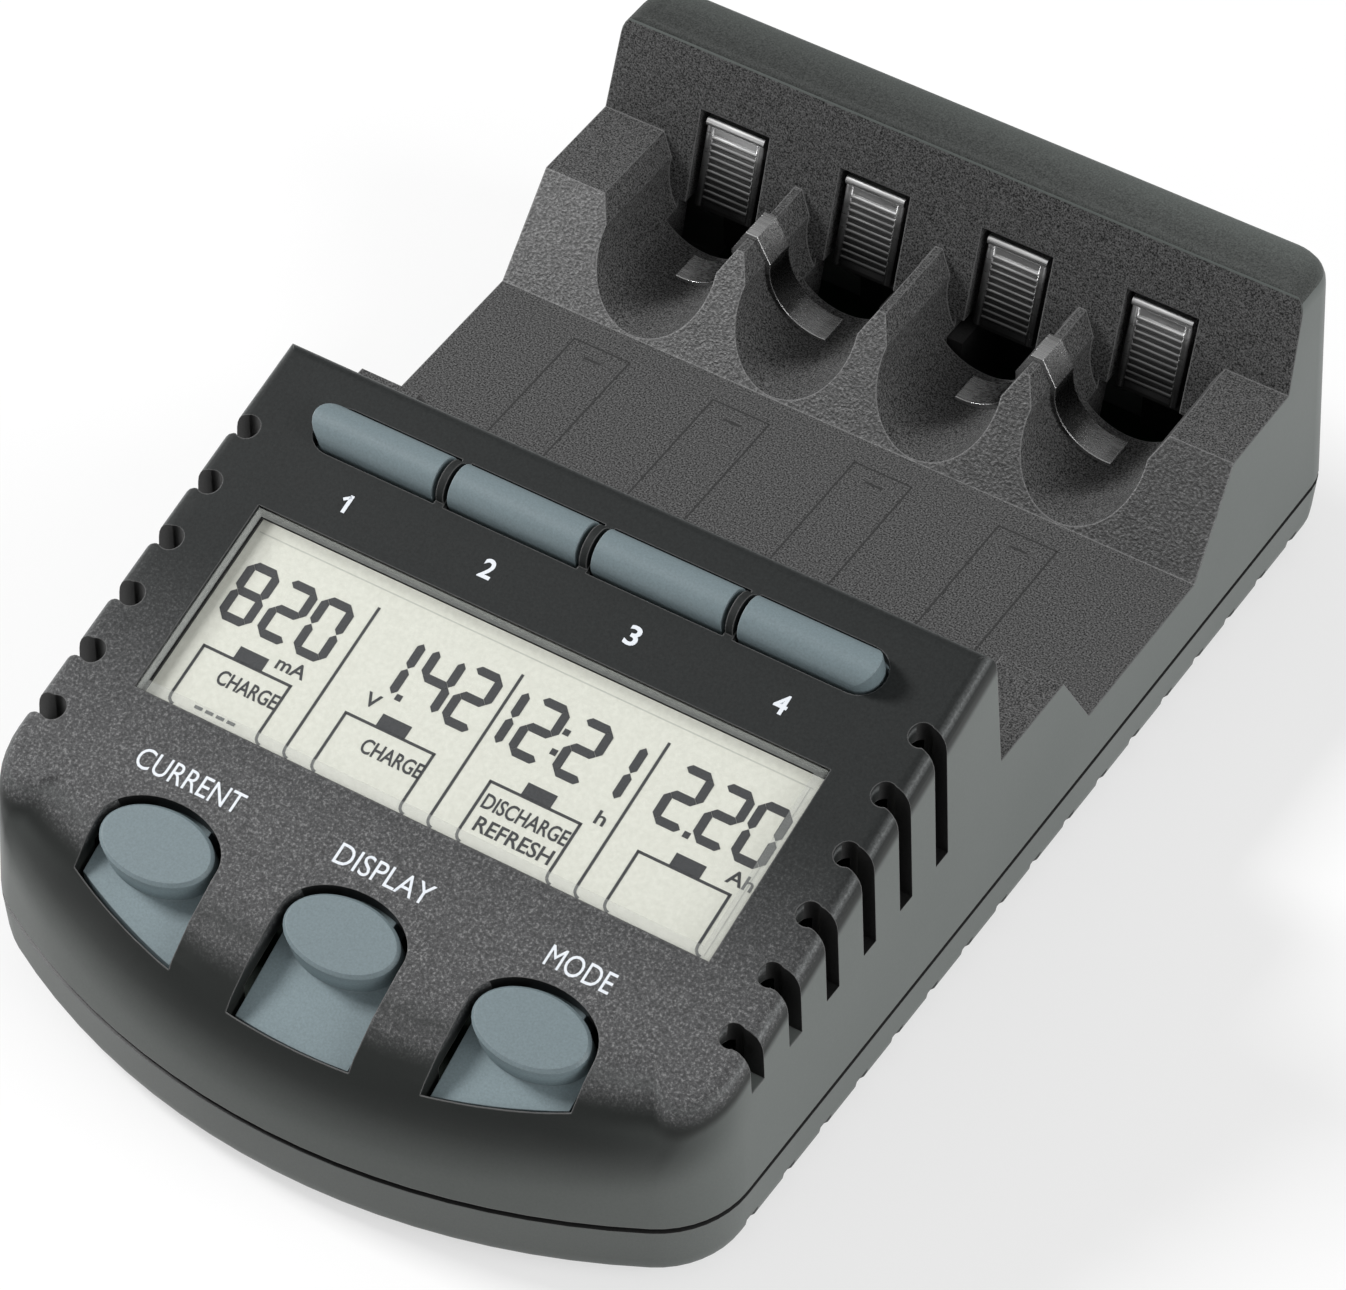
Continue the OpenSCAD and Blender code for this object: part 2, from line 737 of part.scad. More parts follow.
module display_board() {
    color("#2f6b45") intersection() {
        on_panel(0, -display_board_drop - board_t)
            translate([-display_board_w / 2, -display_board_front, 0])
                cube([display_board_w, display_board_front - display_board_back, board_t]);
        bow_drum(front_wall + board_edge_gap);
    }
}

// Barrel-topped key with a retaining flange under the panel
module slot_key(i) {
    r = slot_key_w / 2;
    color("#70828a") on_panel(-slot_key_from_back) translate([slot_keys[i], 0, 0]) {
        intersection() {
            translate([0, 0, -key_foot]) linear_extrude(key_foot + far / 10)
                bar_plan(slot_key_l, slot_key_w, i == 0, i == 3);
            union() {
                translate([0, 0, barrel_lift]) rotate([0, 90, 0]) cylinder(r = r, h = far, center = true);
                translate([-far / 2, -far / 2, -far + barrel_lift]) cube(far);
            }
        }
        translate([-slot_key_l / 2, -r - key_gap - flange_w, -key_foot])
            cube([slot_key_l, slot_key_w + 2 * (key_gap + flange_w), key_foot - wall - rest_gap]);
    }
}

// Oval pad on a lower base whose front edge follows the bow, with a retaining flange behind
module function_key(x) {
    rim_scale = [1 - 2 * pad_rim / pad_w, 1 - 2 * pad_rim / pad_l];
    base_w = pad_w + 2 * base_lip;
    flange_l = pad_l / 2 + function_key_gap + flange_w;
    color("#70828a") {
        difference() {
            intersection() {
                function_key_column(x, -function_key_foot, 0)
                    translate([-base_w / 2, -far / 4]) square([base_w, far / 4]);
                bow_drum(key_front_inset + function_key_gap);
            }
            on_panel(-function_key_from_back, -base_drop) rotate([base_deg, 0, 0])
                translate([-far / 2, -far / 2, 0]) cube(far);
        }
        function_key_column(x, -function_key_foot, -pad_drop - pad_rim) oval_plan();
        on_panel(-function_key_from_back, -pad_drop - pad_rim) translate([x, 0, 0])
            linear_extrude(pad_rim, scale = rim_scale) oval_plan();
        on_panel(-function_key_from_back, -function_key_foot) translate([x - pad_w / 4, 0, 0])
            cube([pad_w / 2, flange_l, function_key_foot - wall - rest_gap]);
    }
}

// Switch body with a round plunger
module key_switch(x, from_back, foot) {
    color("#2b2b2e") on_panel(-from_back, -display_board_drop + rest_gap) translate([x, 0, 0]) {
        body_h = display_board_drop - foot - key_travel - dome_h - 3 * rest_gap;
        translate([-switch_side / 2, -switch_side / 2, 0]) cube([switch_side, switch_side, body_h]);
        cylinder(d = switch_side / 2, h = body_h + dome_h);
    }
}

module slot_switch(x) {
    key_switch(x, slot_key_from_back, key_foot);
}

module function_switch(x) {
    key_switch(x, function_key_from_back, function_key_foot);
}

// Slider: a lever in the wall slot on a narrow stem behind the wall
module contact_slider(x) {
    lever_w = wall_slot_w - 2 * slider_gap;
    low_z = well_top_z - 1;
    high_z = wall_slot_z - slider_gap - contact_margin;
    stem_y = well_front_y + slider_travel + slider_gap;
    back_y = max(stem_y + stem_t, rear_wall_y(high_z) + face_recess + lever_t);
    color("#1c1d1f") translate([x, 0, 0]) {
        across(-lever_w / 2, lever_w / 2) polygon([
            [rear_wall_y(low_z) + face_recess, low_z], [rear_wall_y(high_z) + face_recess, high_z],
            [back_y, high_z], [back_y, low_z]
        ]);
        translate([-stem_w / 2, stem_y, stem_foot_z])
            cube([stem_w, back_y - stem_y, low_z - stem_foot_z + 1]);
    }
}

// Plate on the slider's face: rounded top edge and side rims round a row of half-round ribs
module negative_contact(x) {
    w = wall_slot_w - 2 * slider_gap - 2 * contact_margin;
    low_z = well_top_z - contact_margin;
    high_z = wall_slot_z - slider_gap - 2 * contact_margin;
    slant = (high_z - low_z) / cos(wall_lean);
    face_y = rear_wall_y(low_z) + face_recess - rest_gap;
    color("#9a9c9e") translate([x, face_y, low_z]) rotate([-wall_lean, 0, 0]) {
        translate([-w / 2, -contact_t, 0]) cube([w, contact_t, slant]);
        translate([0, -contact_t, slant - contact_t]) rotate([0, 90, 0])
            cylinder(r = contact_t, h = w, center = true, $fn = 24);
        for (s = [-1, 1]) translate([s * (w / 2 - plate_rim_r), -contact_t, 0])
            cylinder(r = plate_rim_r, h = slant - contact_t, $fn = 24);
        for (i = [0:rib_count - 1]) translate([0, -contact_t, slant - plate_band - (i + 0.5) * rib_pitch])
            rotate([0, 90, 0]) cylinder(r = rib_r, h = w - 2 * plate_rim_r, center = true, $fn = 24);
    }
}

// Plate on the wall behind the panel, with a nub for the cell's cap
module positive_contact(x) {
    mid_z = (floor_z + wall_slot_z) / 2;
    color("#b5b7b8") translate([x, panel_wall_y(mid_z) + rest_gap, mid_z]) rotate([draft_deg, 0, 0]) {
        translate([-plus_w / 2, 0, -plus_h / 2]) cube([plus_w, contact_t, plus_h]);
        rotate([-90, 0, 0]) cylinder(d1 = nub_d, d2 = nub_tip_d, h = contact_t + nub_h);
    }
}

// Sheet strip laid over the ridge between two grooves, from groove bottom to groove bottom
module temperature_strip(a, b) {
    reach = 0.6;
    color("#8f9294") along(strip_y, strip_y + strip_w) difference() {
        union() {
            intersection() {
                union() {
                    translate([a, 0]) groove_section(strip_gap);
                    translate([b, 0]) groove_section(strip_gap);
                }
                translate([a - reach, floor_z])
                    square([b - a + 2 * reach, step_z + strip_gap + contact_t - floor_z]);
            }
            translate([(a + b) / 2 - slot_pitch / 4, step_z + strip_gap])
                square([slot_pitch / 2, contact_t]);
        }
        translate([a, 0]) strip_bite();
        translate([b, 0]) strip_bite();
    }
}

// What a strip leaves free in a groove
module strip_bite() {
    groove_section(strip_gap + contact_t);
}

module main_board() {
    color("#2f6b45") difference() {
        translate([-main_board_w / 2, -main_board_front, main_board_z + rest_gap])
            cube([main_board_w, main_board_front + rear_y - board_rear_gap, board_t]);
        for (p = board_screw_pts) translate([p[0], p[1], 0]) cylinder(d = board_screw_d + 2 * board_hole_gap, h = far);
    }
}

// Flat link between the two boards
module board_link() {
    color("#c9c4b4") difference() {
        translate([-link_w / 2, link_y, board_top_z]) cube([link_w, link_t, link_h]);
        on_panel(0, -display_board_drop - board_t - rest_gap) translate([-far / 2, -far / 2, 0]) cube(far);
    }
}

module controller_chip() {
    color("#222426") translate([-chip_side / 2, chip_y, board_top_z]) cube([chip_side, chip_side, chip_t]);
}

module power_coil() {
    color("#6b4a2c") translate([-power_x, power_y, board_top_z]) difference() {
        cylinder(d = coil_d, h = coil_h);
        translate([0, 0, -1]) cylinder(d = coil_bore, h = coil_h + 2);
    }
}

module power_capacitor() {
    color("#30425e") translate([power_x, power_y, board_top_z]) rotate_extrude() polygon([
        [0, 0], [capacitor_r, 0], [capacitor_r, 1], [capacitor_r - capacitor_groove, 1 + capacitor_groove],
        [capacitor_r, 1 + 2 * capacitor_groove], [capacitor_r, capacitor_h - capacitor_groove],
        [capacitor_r - capacitor_groove, capacitor_h], [0, capacitor_h]
    ]);
}

// Barrel socket with its centre pin, on the main board behind the rear wall
module dc_inlet() {
    color("#1d1e20") difference() {
        translate([inlet_x - inlet_w / 2, inlet_y - inlet_l, board_top_z])
            cube([inlet_w, inlet_l, inlet_top_z - board_top_z]);
        translate([inlet_x, inlet_y + 1, inlet_z]) rotate([90, 0, 0]) difference() {
            cylinder(d = inlet_d, h = inlet_depth + 1);
            translate([0, 0, 1.5]) cylinder(d = inlet_pin_d, h = inlet_depth + 1);
        }
    }
}

// Screw with a pan head below and a plain shank above
module screw(d, head_d, head_h, l) {
    cylinder(d = head_d, h = head_h);
    cylinder(d = d, h = head_h + l);
}

module housing_screws() {
    color("#8a8c8e") for (p = boss_pts)
        translate([p[0], p[1], head_top_z - rest_gap - screw_head_h])
            screw(screw_d, screw_head_d, screw_head_h, screw_l);
}

module board_screws() {
    color("#8a8c8e") for (p = board_screw_pts)
        translate([p[0], p[1], board_top_z + screw_head_h]) rotate([180, 0, 0])
            screw(board_screw_d - screw_fit, 2 * board_screw_d, screw_head_h, board_t + board_post_h);
}

module rubber_feet() {
    r = foot_d / 2;
    h = foot_h + foot_seat - rest_gap;
    color("#151617") for (p = foot_pts) translate([p[0], p[1], 0])
        rotate_extrude() polygon([[0, 0], [r - foot_edge, 0], [r, foot_edge], [r, h], [0, h]]);
}

upper_housing();
lower_housing();
lcd_lens();
lcd_cell();
lcd_frame();
connector_strip(-1);  // connector_strip_front
connector_strip(1);  // connector_strip_rear
display_board();
slot_key(0);  // slot_key_1
slot_key(1);  // slot_key_2
slot_key(2);  // slot_key_3
slot_key(3);  // slot_key_4
function_key(function_keys[0]);  // current_key
function_key(function_keys[1]);  // display_key
function_key(function_keys[2]);  // mode_key
slot_switch(slot_keys[0]);  // slot_switch_1
slot_switch(slot_keys[1]);  // slot_switch_2
slot_switch(slot_keys[2]);  // slot_switch_3
slot_switch(slot_keys[3]);  // slot_switch_4
function_switch(function_keys[0]);  // current_switch
function_switch(function_keys[1]);  // display_switch
function_switch(function_keys[2]);  // mode_switch
contact_slider(slots[0]);  // contact_slider_1
contact_slider(slots[1]);  // contact_slider_2
contact_slider(slots[2]);  // contact_slider_3
contact_slider(slots[3]);  // contact_slider_4
negative_contact(slots[0]);  // negative_contact_1
negative_contact(slots[1]);  // negative_contact_2
negative_contact(slots[2]);  // negative_contact_3
negative_contact(slots[3]);  // negative_contact_4
positive_contact(slots[0]);  // positive_contact_1
positive_contact(slots[1]);  // positive_contact_2
positive_contact(slots[2]);  // positive_contact_3
positive_contact(slots[3]);  // positive_contact_4
temperature_strip(slots[0], slots[1]);  // temperature_strip_left
temperature_strip(slots[2], slots[3]);  // temperature_strip_right
main_board();
board_link();
controller_chip();
power_coil();
power_capacitor();
dc_inlet();
board_screws();
housing_screws();
rubber_feet();
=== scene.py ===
"""Looks of a four-slot AA battery charger: moulded shells, keys, display and contacts in a plain studio."""

import json
import math

import bmesh
import bpy
import numpy as np
from mathutils import Matrix, Vector

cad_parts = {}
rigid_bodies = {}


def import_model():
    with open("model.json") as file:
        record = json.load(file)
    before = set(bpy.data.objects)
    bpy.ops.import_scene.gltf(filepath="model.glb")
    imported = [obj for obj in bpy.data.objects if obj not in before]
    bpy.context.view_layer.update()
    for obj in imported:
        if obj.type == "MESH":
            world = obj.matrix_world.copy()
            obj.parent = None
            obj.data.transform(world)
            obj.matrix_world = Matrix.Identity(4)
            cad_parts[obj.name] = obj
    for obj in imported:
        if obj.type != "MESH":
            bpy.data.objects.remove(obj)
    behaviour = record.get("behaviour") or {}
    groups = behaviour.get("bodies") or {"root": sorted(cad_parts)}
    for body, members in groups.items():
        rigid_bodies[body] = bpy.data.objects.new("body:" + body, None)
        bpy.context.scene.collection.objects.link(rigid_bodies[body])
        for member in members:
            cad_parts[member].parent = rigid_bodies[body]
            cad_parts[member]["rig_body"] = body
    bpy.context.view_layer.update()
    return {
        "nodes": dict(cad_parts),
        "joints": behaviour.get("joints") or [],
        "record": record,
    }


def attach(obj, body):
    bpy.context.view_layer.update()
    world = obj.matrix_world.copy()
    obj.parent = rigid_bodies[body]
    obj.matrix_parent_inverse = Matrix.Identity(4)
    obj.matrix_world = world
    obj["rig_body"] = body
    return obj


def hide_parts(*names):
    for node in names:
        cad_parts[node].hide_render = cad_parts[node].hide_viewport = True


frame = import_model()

MM = 0.001
nodes = frame["nodes"]
bodies = {node: o["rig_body"] for node, o in nodes.items()}
slots = {s["node"]: s["material_slot"] for s in frame["record"]["subparts"]}

# Panel plane: its rear edge in Y and Z, and its outward direction, opposite to a key's press
PANEL_REAR = np.array([0.0, -2.9, 35.6])
press = next(j["axis"] for j in frame["joints"] if j["name"] == "display_key_press")
panel_out = -Vector(press).normalized()
panel_turn = Matrix.Rotation(math.atan2(-panel_out.y, panel_out.z), 4, "X")
panel_place = Matrix.Translation(Vector(PANEL_REAR) * MM) @ panel_turn

# Body: centre and radius of the bowed front, front of the rear block, height of the parting line
BOW_Y = 7.5
BOW_R = 68.0
BLOCK_Y = 51.6
SPLIT_Z = 7.5

# Shell tones: the flanks, the bowed front darkened as painted shade, and a band of painted shade under the
# panel's rolled edges
SIDE_GREY = (0.122, 0.135, 0.129)
PAINTED_SHADE_FRONT = (0.100, 0.108, 0.103)
PAINTED_SHADE_BAND = (0.018, 0.020, 0.019)

# Bay: middles of the battery slots, floor height, slope of the cradle's face
SLOTS_X = (np.arange(4) - 1.5) * 15.25
BAY_FLOOR_Z = 14.0
CRADLE_DEG = 53.4

# Display, on the panel plane from its rear edge: face of the LCD cell, middles of its four battery symbols
# and the dividers between them, size and top of the figures, stroke width, thickness of ink, dots, top of the
# symbols, where the uprights turn and their radius there, and the dashes in the first symbol
LCD_FACE = -1.35
SYMBOLS_X = -21.95 + 14.8 * np.arange(4)
DIVIDERS_X = -14.55 + 14.78 * np.arange(3)
DIGIT_W = 3.4
DIGIT_TOP = -20.3
DIGIT_H = 6.2
STROKE = 0.82
INK = 0.03
DOTS = ((-8.6, -26.15), (6.25, -22.5), (6.25, -24.6), (20.5, -26.25))
SYMBOL_TOP = -29.4
KNEE_Y = -34.7
KNEE_R = 0.75
DASHES_X = -23.9 + 1.13 * np.arange(4)

# Axes that brush lines run along
X_AXIS, Z_AXIS = 0, 2

# Print: height of a capital over the type size, and the hair between print and panel
CAPITAL_SHARE = 0.69
HAIR = 0.002


def new_material(name):
    """Node material with a Principled shader. Returns the material, its nodes, links and the shader."""
    mat = bpy.data.materials.new(name)
    mat.use_nodes = True
    tree = mat.node_tree
    return mat, tree.nodes, tree.links, tree.nodes["Principled BSDF"]


def ramp(nodes_, links, source, stops):
    """Colour ramp fed by a value: stops are (place, colour)."""
    node = nodes_.new("ShaderNodeValToRGB")
    links.new(source, node.inputs["Fac"])
    marks = node.color_ramp.elements
    while len(marks) < len(stops):
        marks.new(0.5)
    for mark, (place, colour) in zip(marks, stops):
        mark.position = place
        mark.color = (*colour, 1)
    return node.outputs["Color"]


def grey(value):
    """Equal parts of red, green and blue."""
    return (value, value, value)


def noise(nodes_, links, coords, per_mm, detail=2.0, roughness=0.5):
    """Noise with a given number of cells per millimetre on Object coordinates."""
    node = nodes_.new("ShaderNodeTexNoise")
    node.inputs["Scale"].default_value = per_mm / MM
    node.inputs["Detail"].default_value = detail
    node.inputs["Roughness"].default_value = roughness
    links.new(coords, node.inputs["Vector"])
    return node.outputs["Fac"]


def blend(nodes_, links, factor, first, second):
    """Colour between two sources, by a factor source."""
    node = nodes_.new("ShaderNodeMix")
    node.data_type = "RGBA"
    links.new(factor, node.inputs["Factor"])
    links.new(first, node.inputs["A"])
    links.new(second, node.inputs["B"])
    return node.outputs["Result"]


def place_along(nodes_, links, coords, axis, start_mm, end_mm):
    """Value that runs from 0 to 1 between two places along an axis of the Object coordinates."""
    parts = nodes_.new("ShaderNodeSeparateXYZ")
    links.new(coords, parts.inputs["Vector"])
    span = nodes_.new("ShaderNodeMapRange")
    span.interpolation_type = "SMOOTHSTEP"
    span.inputs["From Min"].default_value = start_mm * MM
    span.inputs["From Max"].default_value = end_mm * MM
    links.new(parts.outputs[axis], span.inputs["Value"])
    return span.outputs["Result"]


def bump(nodes_, links, height, depth_mm, under=None):
    """Normal from a height field of a given depth, laid over the face's own normal or another one."""
    node = nodes_.new("ShaderNodeBump")
    node.inputs["Distance"].default_value = depth_mm * MM
    links.new(height, node.inputs["Height"])
    if under:
        links.new(under, node.inputs["Normal"])
    return node.outputs["Normal"]


def rounded_edges(nodes_, links, colour, radius_mm, pale):
    """Edges rounded off by a small radius, with a painted highlight along them: the normal there, and the
    colour with them.
    """
    rounded = nodes_.new("ShaderNodeBevel")
    rounded.samples = 6
    rounded.inputs["Radius"].default_value = radius_mm * MM
    turn = nodes_.new("ShaderNodeVectorMath")
    turn.operation = "DOT_PRODUCT"
    links.new(rounded.outputs["Normal"], turn.inputs[0])
    links.new(nodes_.new("ShaderNodeNewGeometry").outputs["Normal"], turn.inputs[1])
    edge_highlight = nodes_.new("ShaderNodeMapRange")
    edge_highlight.inputs["From Min"].default_value = 0.985
    edge_highlight.inputs["From Max"].default_value = 0.88
    links.new(turn.outputs["Value"], edge_highlight.inputs["Value"])
    # Painted highlight: the pale colour mixed in where the rounded normal turns away from the face
    both = nodes_.new("ShaderNodeMix")
    both.data_type = "RGBA"
    both.inputs["B"].default_value = (*pale, 1)
    links.new(edge_highlight.outputs["Result"], both.inputs["Factor"])
    links.new(colour, both.inputs["A"])
    return rounded.outputs["Normal"], both.outputs["Result"]


def set_roughness(nodes_, links, shader, source, low, high):
    """Roughness that runs from low to high with a noise source."""
    links.new(ramp(nodes_, links, source, [(0.3, grey(low)), (0.7, grey(high))]), shader.inputs["Roughness"])


def moulded(name, low, high, per_mm, depth_mm, rough, speckle=(0.35, 0.7), edge=None, gloss=0.5):
    """Moulded plastic: spark-eroded grain as bump, the grain's tips paler, slow drift in roughness."""
    mat, ns, links, shader = new_material(name)
    coords = ns.new("ShaderNodeTexCoord").outputs["Object"]
    grain = noise(ns, links, coords, per_mm, detail=3.0, roughness=0.65)
    colour = ramp(ns, links, grain, [(speckle[0], low), (speckle[1], high)])
    under = None
    if edge:
        under, colour = rounded_edges(ns, links, colour, *edge)
    links.new(colour, shader.inputs["Base Color"])
    links.new(bump(ns, links, grain, depth_mm, under), shader.inputs["Normal"])
    set_roughness(ns, links, shader, noise(ns, links, coords, 0.05), rough - 0.05, rough + 0.07)
    shader.inputs["Specular IOR Level"].default_value = gloss
    return mat


def panel_height(nodes_, links, coords, start_mm, end_mm):
    """Value that runs from 0 to 1 between two heights above the panel plane, negative below it."""
    rise = nodes_.new("ShaderNodeVectorMath")
    rise.operation = "DOT_PRODUCT"
    rise.inputs[1].default_value = panel_out
    links.new(coords, rise.inputs[0])
    span = nodes_.new("ShaderNodeMapRange")
    span.interpolation_type = "SMOOTHSTEP"
    level = float(PANEL_REAR @ np.array(panel_out))
    span.inputs["From Min"].default_value = (level + start_mm) * MM
    span.inputs["From Max"].default_value = (level + end_mm) * MM
    links.new(rise.outputs["Value"], span.inputs["Value"])
    return span.outputs["Result"]


def tinted(nodes_, links, grain, tone, spread):
    """Tone that swings by a share with the grain."""
    tone = np.array(tone)
    return ramp(nodes_, links, grain, [(0.3, tone * (1 - spread)), (0.7, tone * (1 + spread))])


def housing_plastic():
    """Upper shell: a near-black panel, speckled and paler in front, that rolls over into smooth grey walls.

    The pale specks are partly the grain's own tone and partly painted highlight, and the bowed front carries
    painted shade. Every tone goes by the height above the panel plane: the panel, a painted highlight on the
    crest of the rolled side edges, a dark band of painted shade under it, then the walls. The bowed front has
    no crest, and its band is broader.
    """
    mat, ns, links, shader = new_material("housing_plastic")
    coords = ns.new("ShaderNodeTexCoord").outputs["Object"]
    grain = noise(ns, links, coords, 3.8, detail=4.0, roughness=0.75)
    rear = tinted(ns, links, grain, (0.018, 0.020, 0.020), 0.3)
    # Pale speck tips: partly the grain's own tone, partly painted highlight, growing towards the front
    speck_highlight_stops = [(0.38, (0.046, 0.046, 0.047)), (0.54, (0.095, 0.096, 0.098)), (0.66, grey(0.25))]
    front = ramp(ns, links, grain, speck_highlight_stops)
    panel = blend(ns, links, place_along(ns, links, coords, "Y", -22, -44), rear, front)
    # Bowed front: painted shade over the wall tone, and a broader band of painted shade under its roll
    bow = blend(
        ns, links, panel_height(ns, links, coords, -8.5, -3.0),
        tinted(ns, links, grain, PAINTED_SHADE_FRONT, 0.06), tinted(ns, links, grain, PAINTED_SHADE_BAND, 0.06),
    )
    on_side = place_along(ns, links, coords, "Y", -54, -41)
    # Flanks: their own grey, with a band of painted shade under the rolled edge
    side = blend(
        ns, links, panel_height(ns, links, coords, -3.0, -1.9),
        tinted(ns, links, grain, SIDE_GREY, 0.05), tinted(ns, links, grain, PAINTED_SHADE_BAND, 0.06),
    )
    walls = blend(ns, links, on_side, bow, side)
    on_panel = panel_height(ns, links, coords, -1.9, -0.5)
    # Painted highlight along the crest of the rolled side edges, left off the bowed front
    crest_share = [(0.1, grey(0)), (0.5, grey(0.55)), (0.9, grey(0))]
    crest = ramp(ns, links, panel_height(ns, links, coords, -1.3, 0.1), crest_share)
    painted_crest_highlight = blend(ns, links, on_side, walls, tinted(ns, links, grain, (0.20, 0.21, 0.21), 0.5))
    colour = blend(ns, links, crest, blend(ns, links, on_panel, walls, panel), painted_crest_highlight)
    # Edges with a painted highlight in a pale tone
    under, colour = rounded_edges(ns, links, colour, 0.2, grey(0.15))
    links.new(colour, shader.inputs["Base Color"])
    grained = bump(ns, links, grain, 0.02, under)
    links.new(on_panel, grained.node.inputs["Strength"])
    links.new(grained, shader.inputs["Normal"])
    drift = noise(ns, links, coords, 0.05)
    satin, matt = [
        ramp(ns, links, drift, [(0.3, grey(rough - 0.04)), (0.7, grey(rough + 0.04))])
        for rough in (0.42, 0.62)
    ]
    matt_share = panel_height(ns, links, coords, -1.4, -0.2)
    links.new(blend(ns, links, matt_share, satin, matt), shader.inputs["Roughness"])
    shader.inputs["Specular IOR Level"].default_value = 0.2
    return mat


def tray_plastic():
    """Lower shell: smooth satin grey with a very fine grain, with painted shade round the bowed front."""
    mat, ns, links, shader = new_material("tray_plastic")
    coords = ns.new("ShaderNodeTexCoord").outputs["Object"]
    grain = noise(ns, links, coords, 6.0)
    # Bowed front darker than the flanks: painted shade
    tones = [tinted(ns, links, grain, tone, 0.06) for tone in (PAINTED_SHADE_FRONT, SIDE_GREY)]
    colour = blend(ns, links, place_along(ns, links, coords, "Y", -54, -41), *tones)
    # Edges with a painted highlight in a pale tone
    under, colour = rounded_edges(ns, links, colour, 0.25, grey(0.16))
    links.new(colour, shader.inputs["Base Color"])
    links.new(bump(ns, links, grain, 0.006, under), shader.inputs["Normal"])
    set_roughness(ns, links, shader, noise(ns, links, coords, 0.04), 0.42, 0.52)
    shader.inputs["Specular IOR Level"].default_value = 0.25
    return mat


def block_plastic():
    """Top of the rear block: fine grain, with painted shade along the bay and painted light towards the rear
    roll and the right.
    """
    mat, ns, links, shader = new_material("block_plastic")
    coords = ns.new("ShaderNodeTexCoord").outputs["Object"]
    grain = noise(ns, links, coords, 6.0, detail=3.0, roughness=0.65)
    # Painted shade along the bay, painted light towards the rear roll and, by a gain, to the right
    towards_rear = place_along(ns, links, coords, "Y", 53, 61)
    left, right = [
        blend(
            ns, links, towards_rear,
            tinted(ns, links, grain, np.array((0.045, 0.048, 0.046)) * painted_light_gain, 0.6),
            tinted(ns, links, grain, np.array((0.10, 0.111, 0.105)) * painted_light_gain, 0.2),
        )
        for painted_light_gain in (1.0, 1.35)
    ]
    colour = blend(ns, links, place_along(ns, links, coords, "X", -20, 36), left, right)
    # Edges with a painted highlight in a pale tone
    under, colour = rounded_edges(ns, links, colour, 0.3, grey(0.07))
    links.new(colour, shader.inputs["Base Color"])
    links.new(bump(ns, links, grain, 0.012, under), shader.inputs["Normal"])
    set_roughness(ns, links, shader, grain, 0.55, 0.65)
    shader.inputs["Specular IOR Level"].default_value = 0.2
    return mat


def key_plastic():
    """Keys: blue-grey with a fine grain, with painted light on the sloped bases below the panel, where the
    pads shade them.
    """
    mat, ns, links, shader = new_material("key_plastic")
    coords = ns.new("ShaderNodeTexCoord").outputs["Object"]
    grain = noise(ns, links, coords, 5.0, detail=3.0, roughness=0.65)
    # Bases paler than the pads: painted light against the pads' shade
    painted_lit_base = tinted(ns, links, grain, (0.200, 0.258, 0.278), 0.12)
    pad = tinted(ns, links, grain, (0.168, 0.216, 0.233), 0.12)
    colour = blend(ns, links, panel_height(ns, links, coords, -1.6, -0.4), painted_lit_base, pad)
    # Edges with a painted highlight in a pale tone
    under, colour = rounded_edges(ns, links, colour, 0.12, (0.26, 0.31, 0.33))
    links.new(colour, shader.inputs["Base Color"])
    links.new(bump(ns, links, grain, 0.006, under), shader.inputs["Normal"])
    set_roughness(ns, links, shader, noise(ns, links, coords, 0.05), 0.40, 0.52)
    shader.inputs["Specular IOR Level"].default_value = 0.35
    return mat


def cradle_plastic():
    """Cradle face: coarse pebbled grain, paler on its tips, with painted light on the left and painted shade
    to the right.
    """
    mat, ns, links, shader = new_material("cradle_plastic")
    coords = ns.new("ShaderNodeTexCoord").outputs["Object"]
    pebbles = noise(ns, links, coords, 3.6, detail=2.0, roughness=0.5)
    # Left tones paler as painted light, right tones darker as painted shade
    left = ramp(ns, links, pebbles, [(0.36, grey(0.105)), (0.52, grey(0.15)), (0.68, grey(0.24))])
    right = ramp(ns, links, pebbles, [(0.36, grey(0.046)), (0.52, grey(0.072)), (0.68, grey(0.12))])
    colour = blend(ns, links, place_along(ns, links, coords, "X", -34, 34), left, right)
    # Edges with a painted highlight in a pale tone
    under, colour = rounded_edges(ns, links, colour, 0.3, grey(0.30))
    links.new(colour, shader.inputs["Base Color"])
    links.new(bump(ns, links, pebbles, 0.28, under), shader.inputs["Normal"])
    set_roughness(ns, links, shader, pebbles, 0.62, 0.46)
    return mat


def metal(name, tones, rough, brush_axis, over, edge=None):
    """Plated sheet with fine brush lines: tones from the foot of a node to its top, which hold painted shade
    and highlights where a finish gives them, brush lines over them.
    """
    mat, ns, links, shader = new_material(name)
    coords = ns.new("ShaderNodeTexCoord").outputs["Object"]
    stretch = ns.new("ShaderNodeMapping")
    stretch.inputs["Scale"].default_value = [0.04 if i == brush_axis else 1 for i in range(3)]
    links.new(coords, stretch.inputs["Vector"])
    lines = noise(ns, links, stretch.outputs["Vector"], 6.0)
    rise = place_along(ns, links, coords, "Z", *node_rise(over))
    deep, pale = [
        ramp(ns, links, rise, [(at, np.array(tone) * share) for at, tone in tones]) for share in (0.8, 1.0)
    ]
    colour = blend(ns, links, lines, deep, pale)
    under = None
    if edge:
        under, colour = rounded_edges(ns, links, colour, *edge)
    links.new(colour, shader.inputs["Base Color"])
    set_roughness(ns, links, shader, lines, rough * 0.75, rough * 1.25)
    links.new(bump(ns, links, lines, 0.003, under), shader.inputs["Normal"])
    shader.inputs["Metallic"].default_value = 1.0
    return mat


def node_rise(node):
    """Heights of the foot and the top of a node, mm."""
    mesh = nodes[node].data
    spots = np.empty(len(mesh.vertices) * 3)
    mesh.vertices.foreach_get("co", spots)
    return spots[2::3].min() / MM, spots[2::3].max() / MM


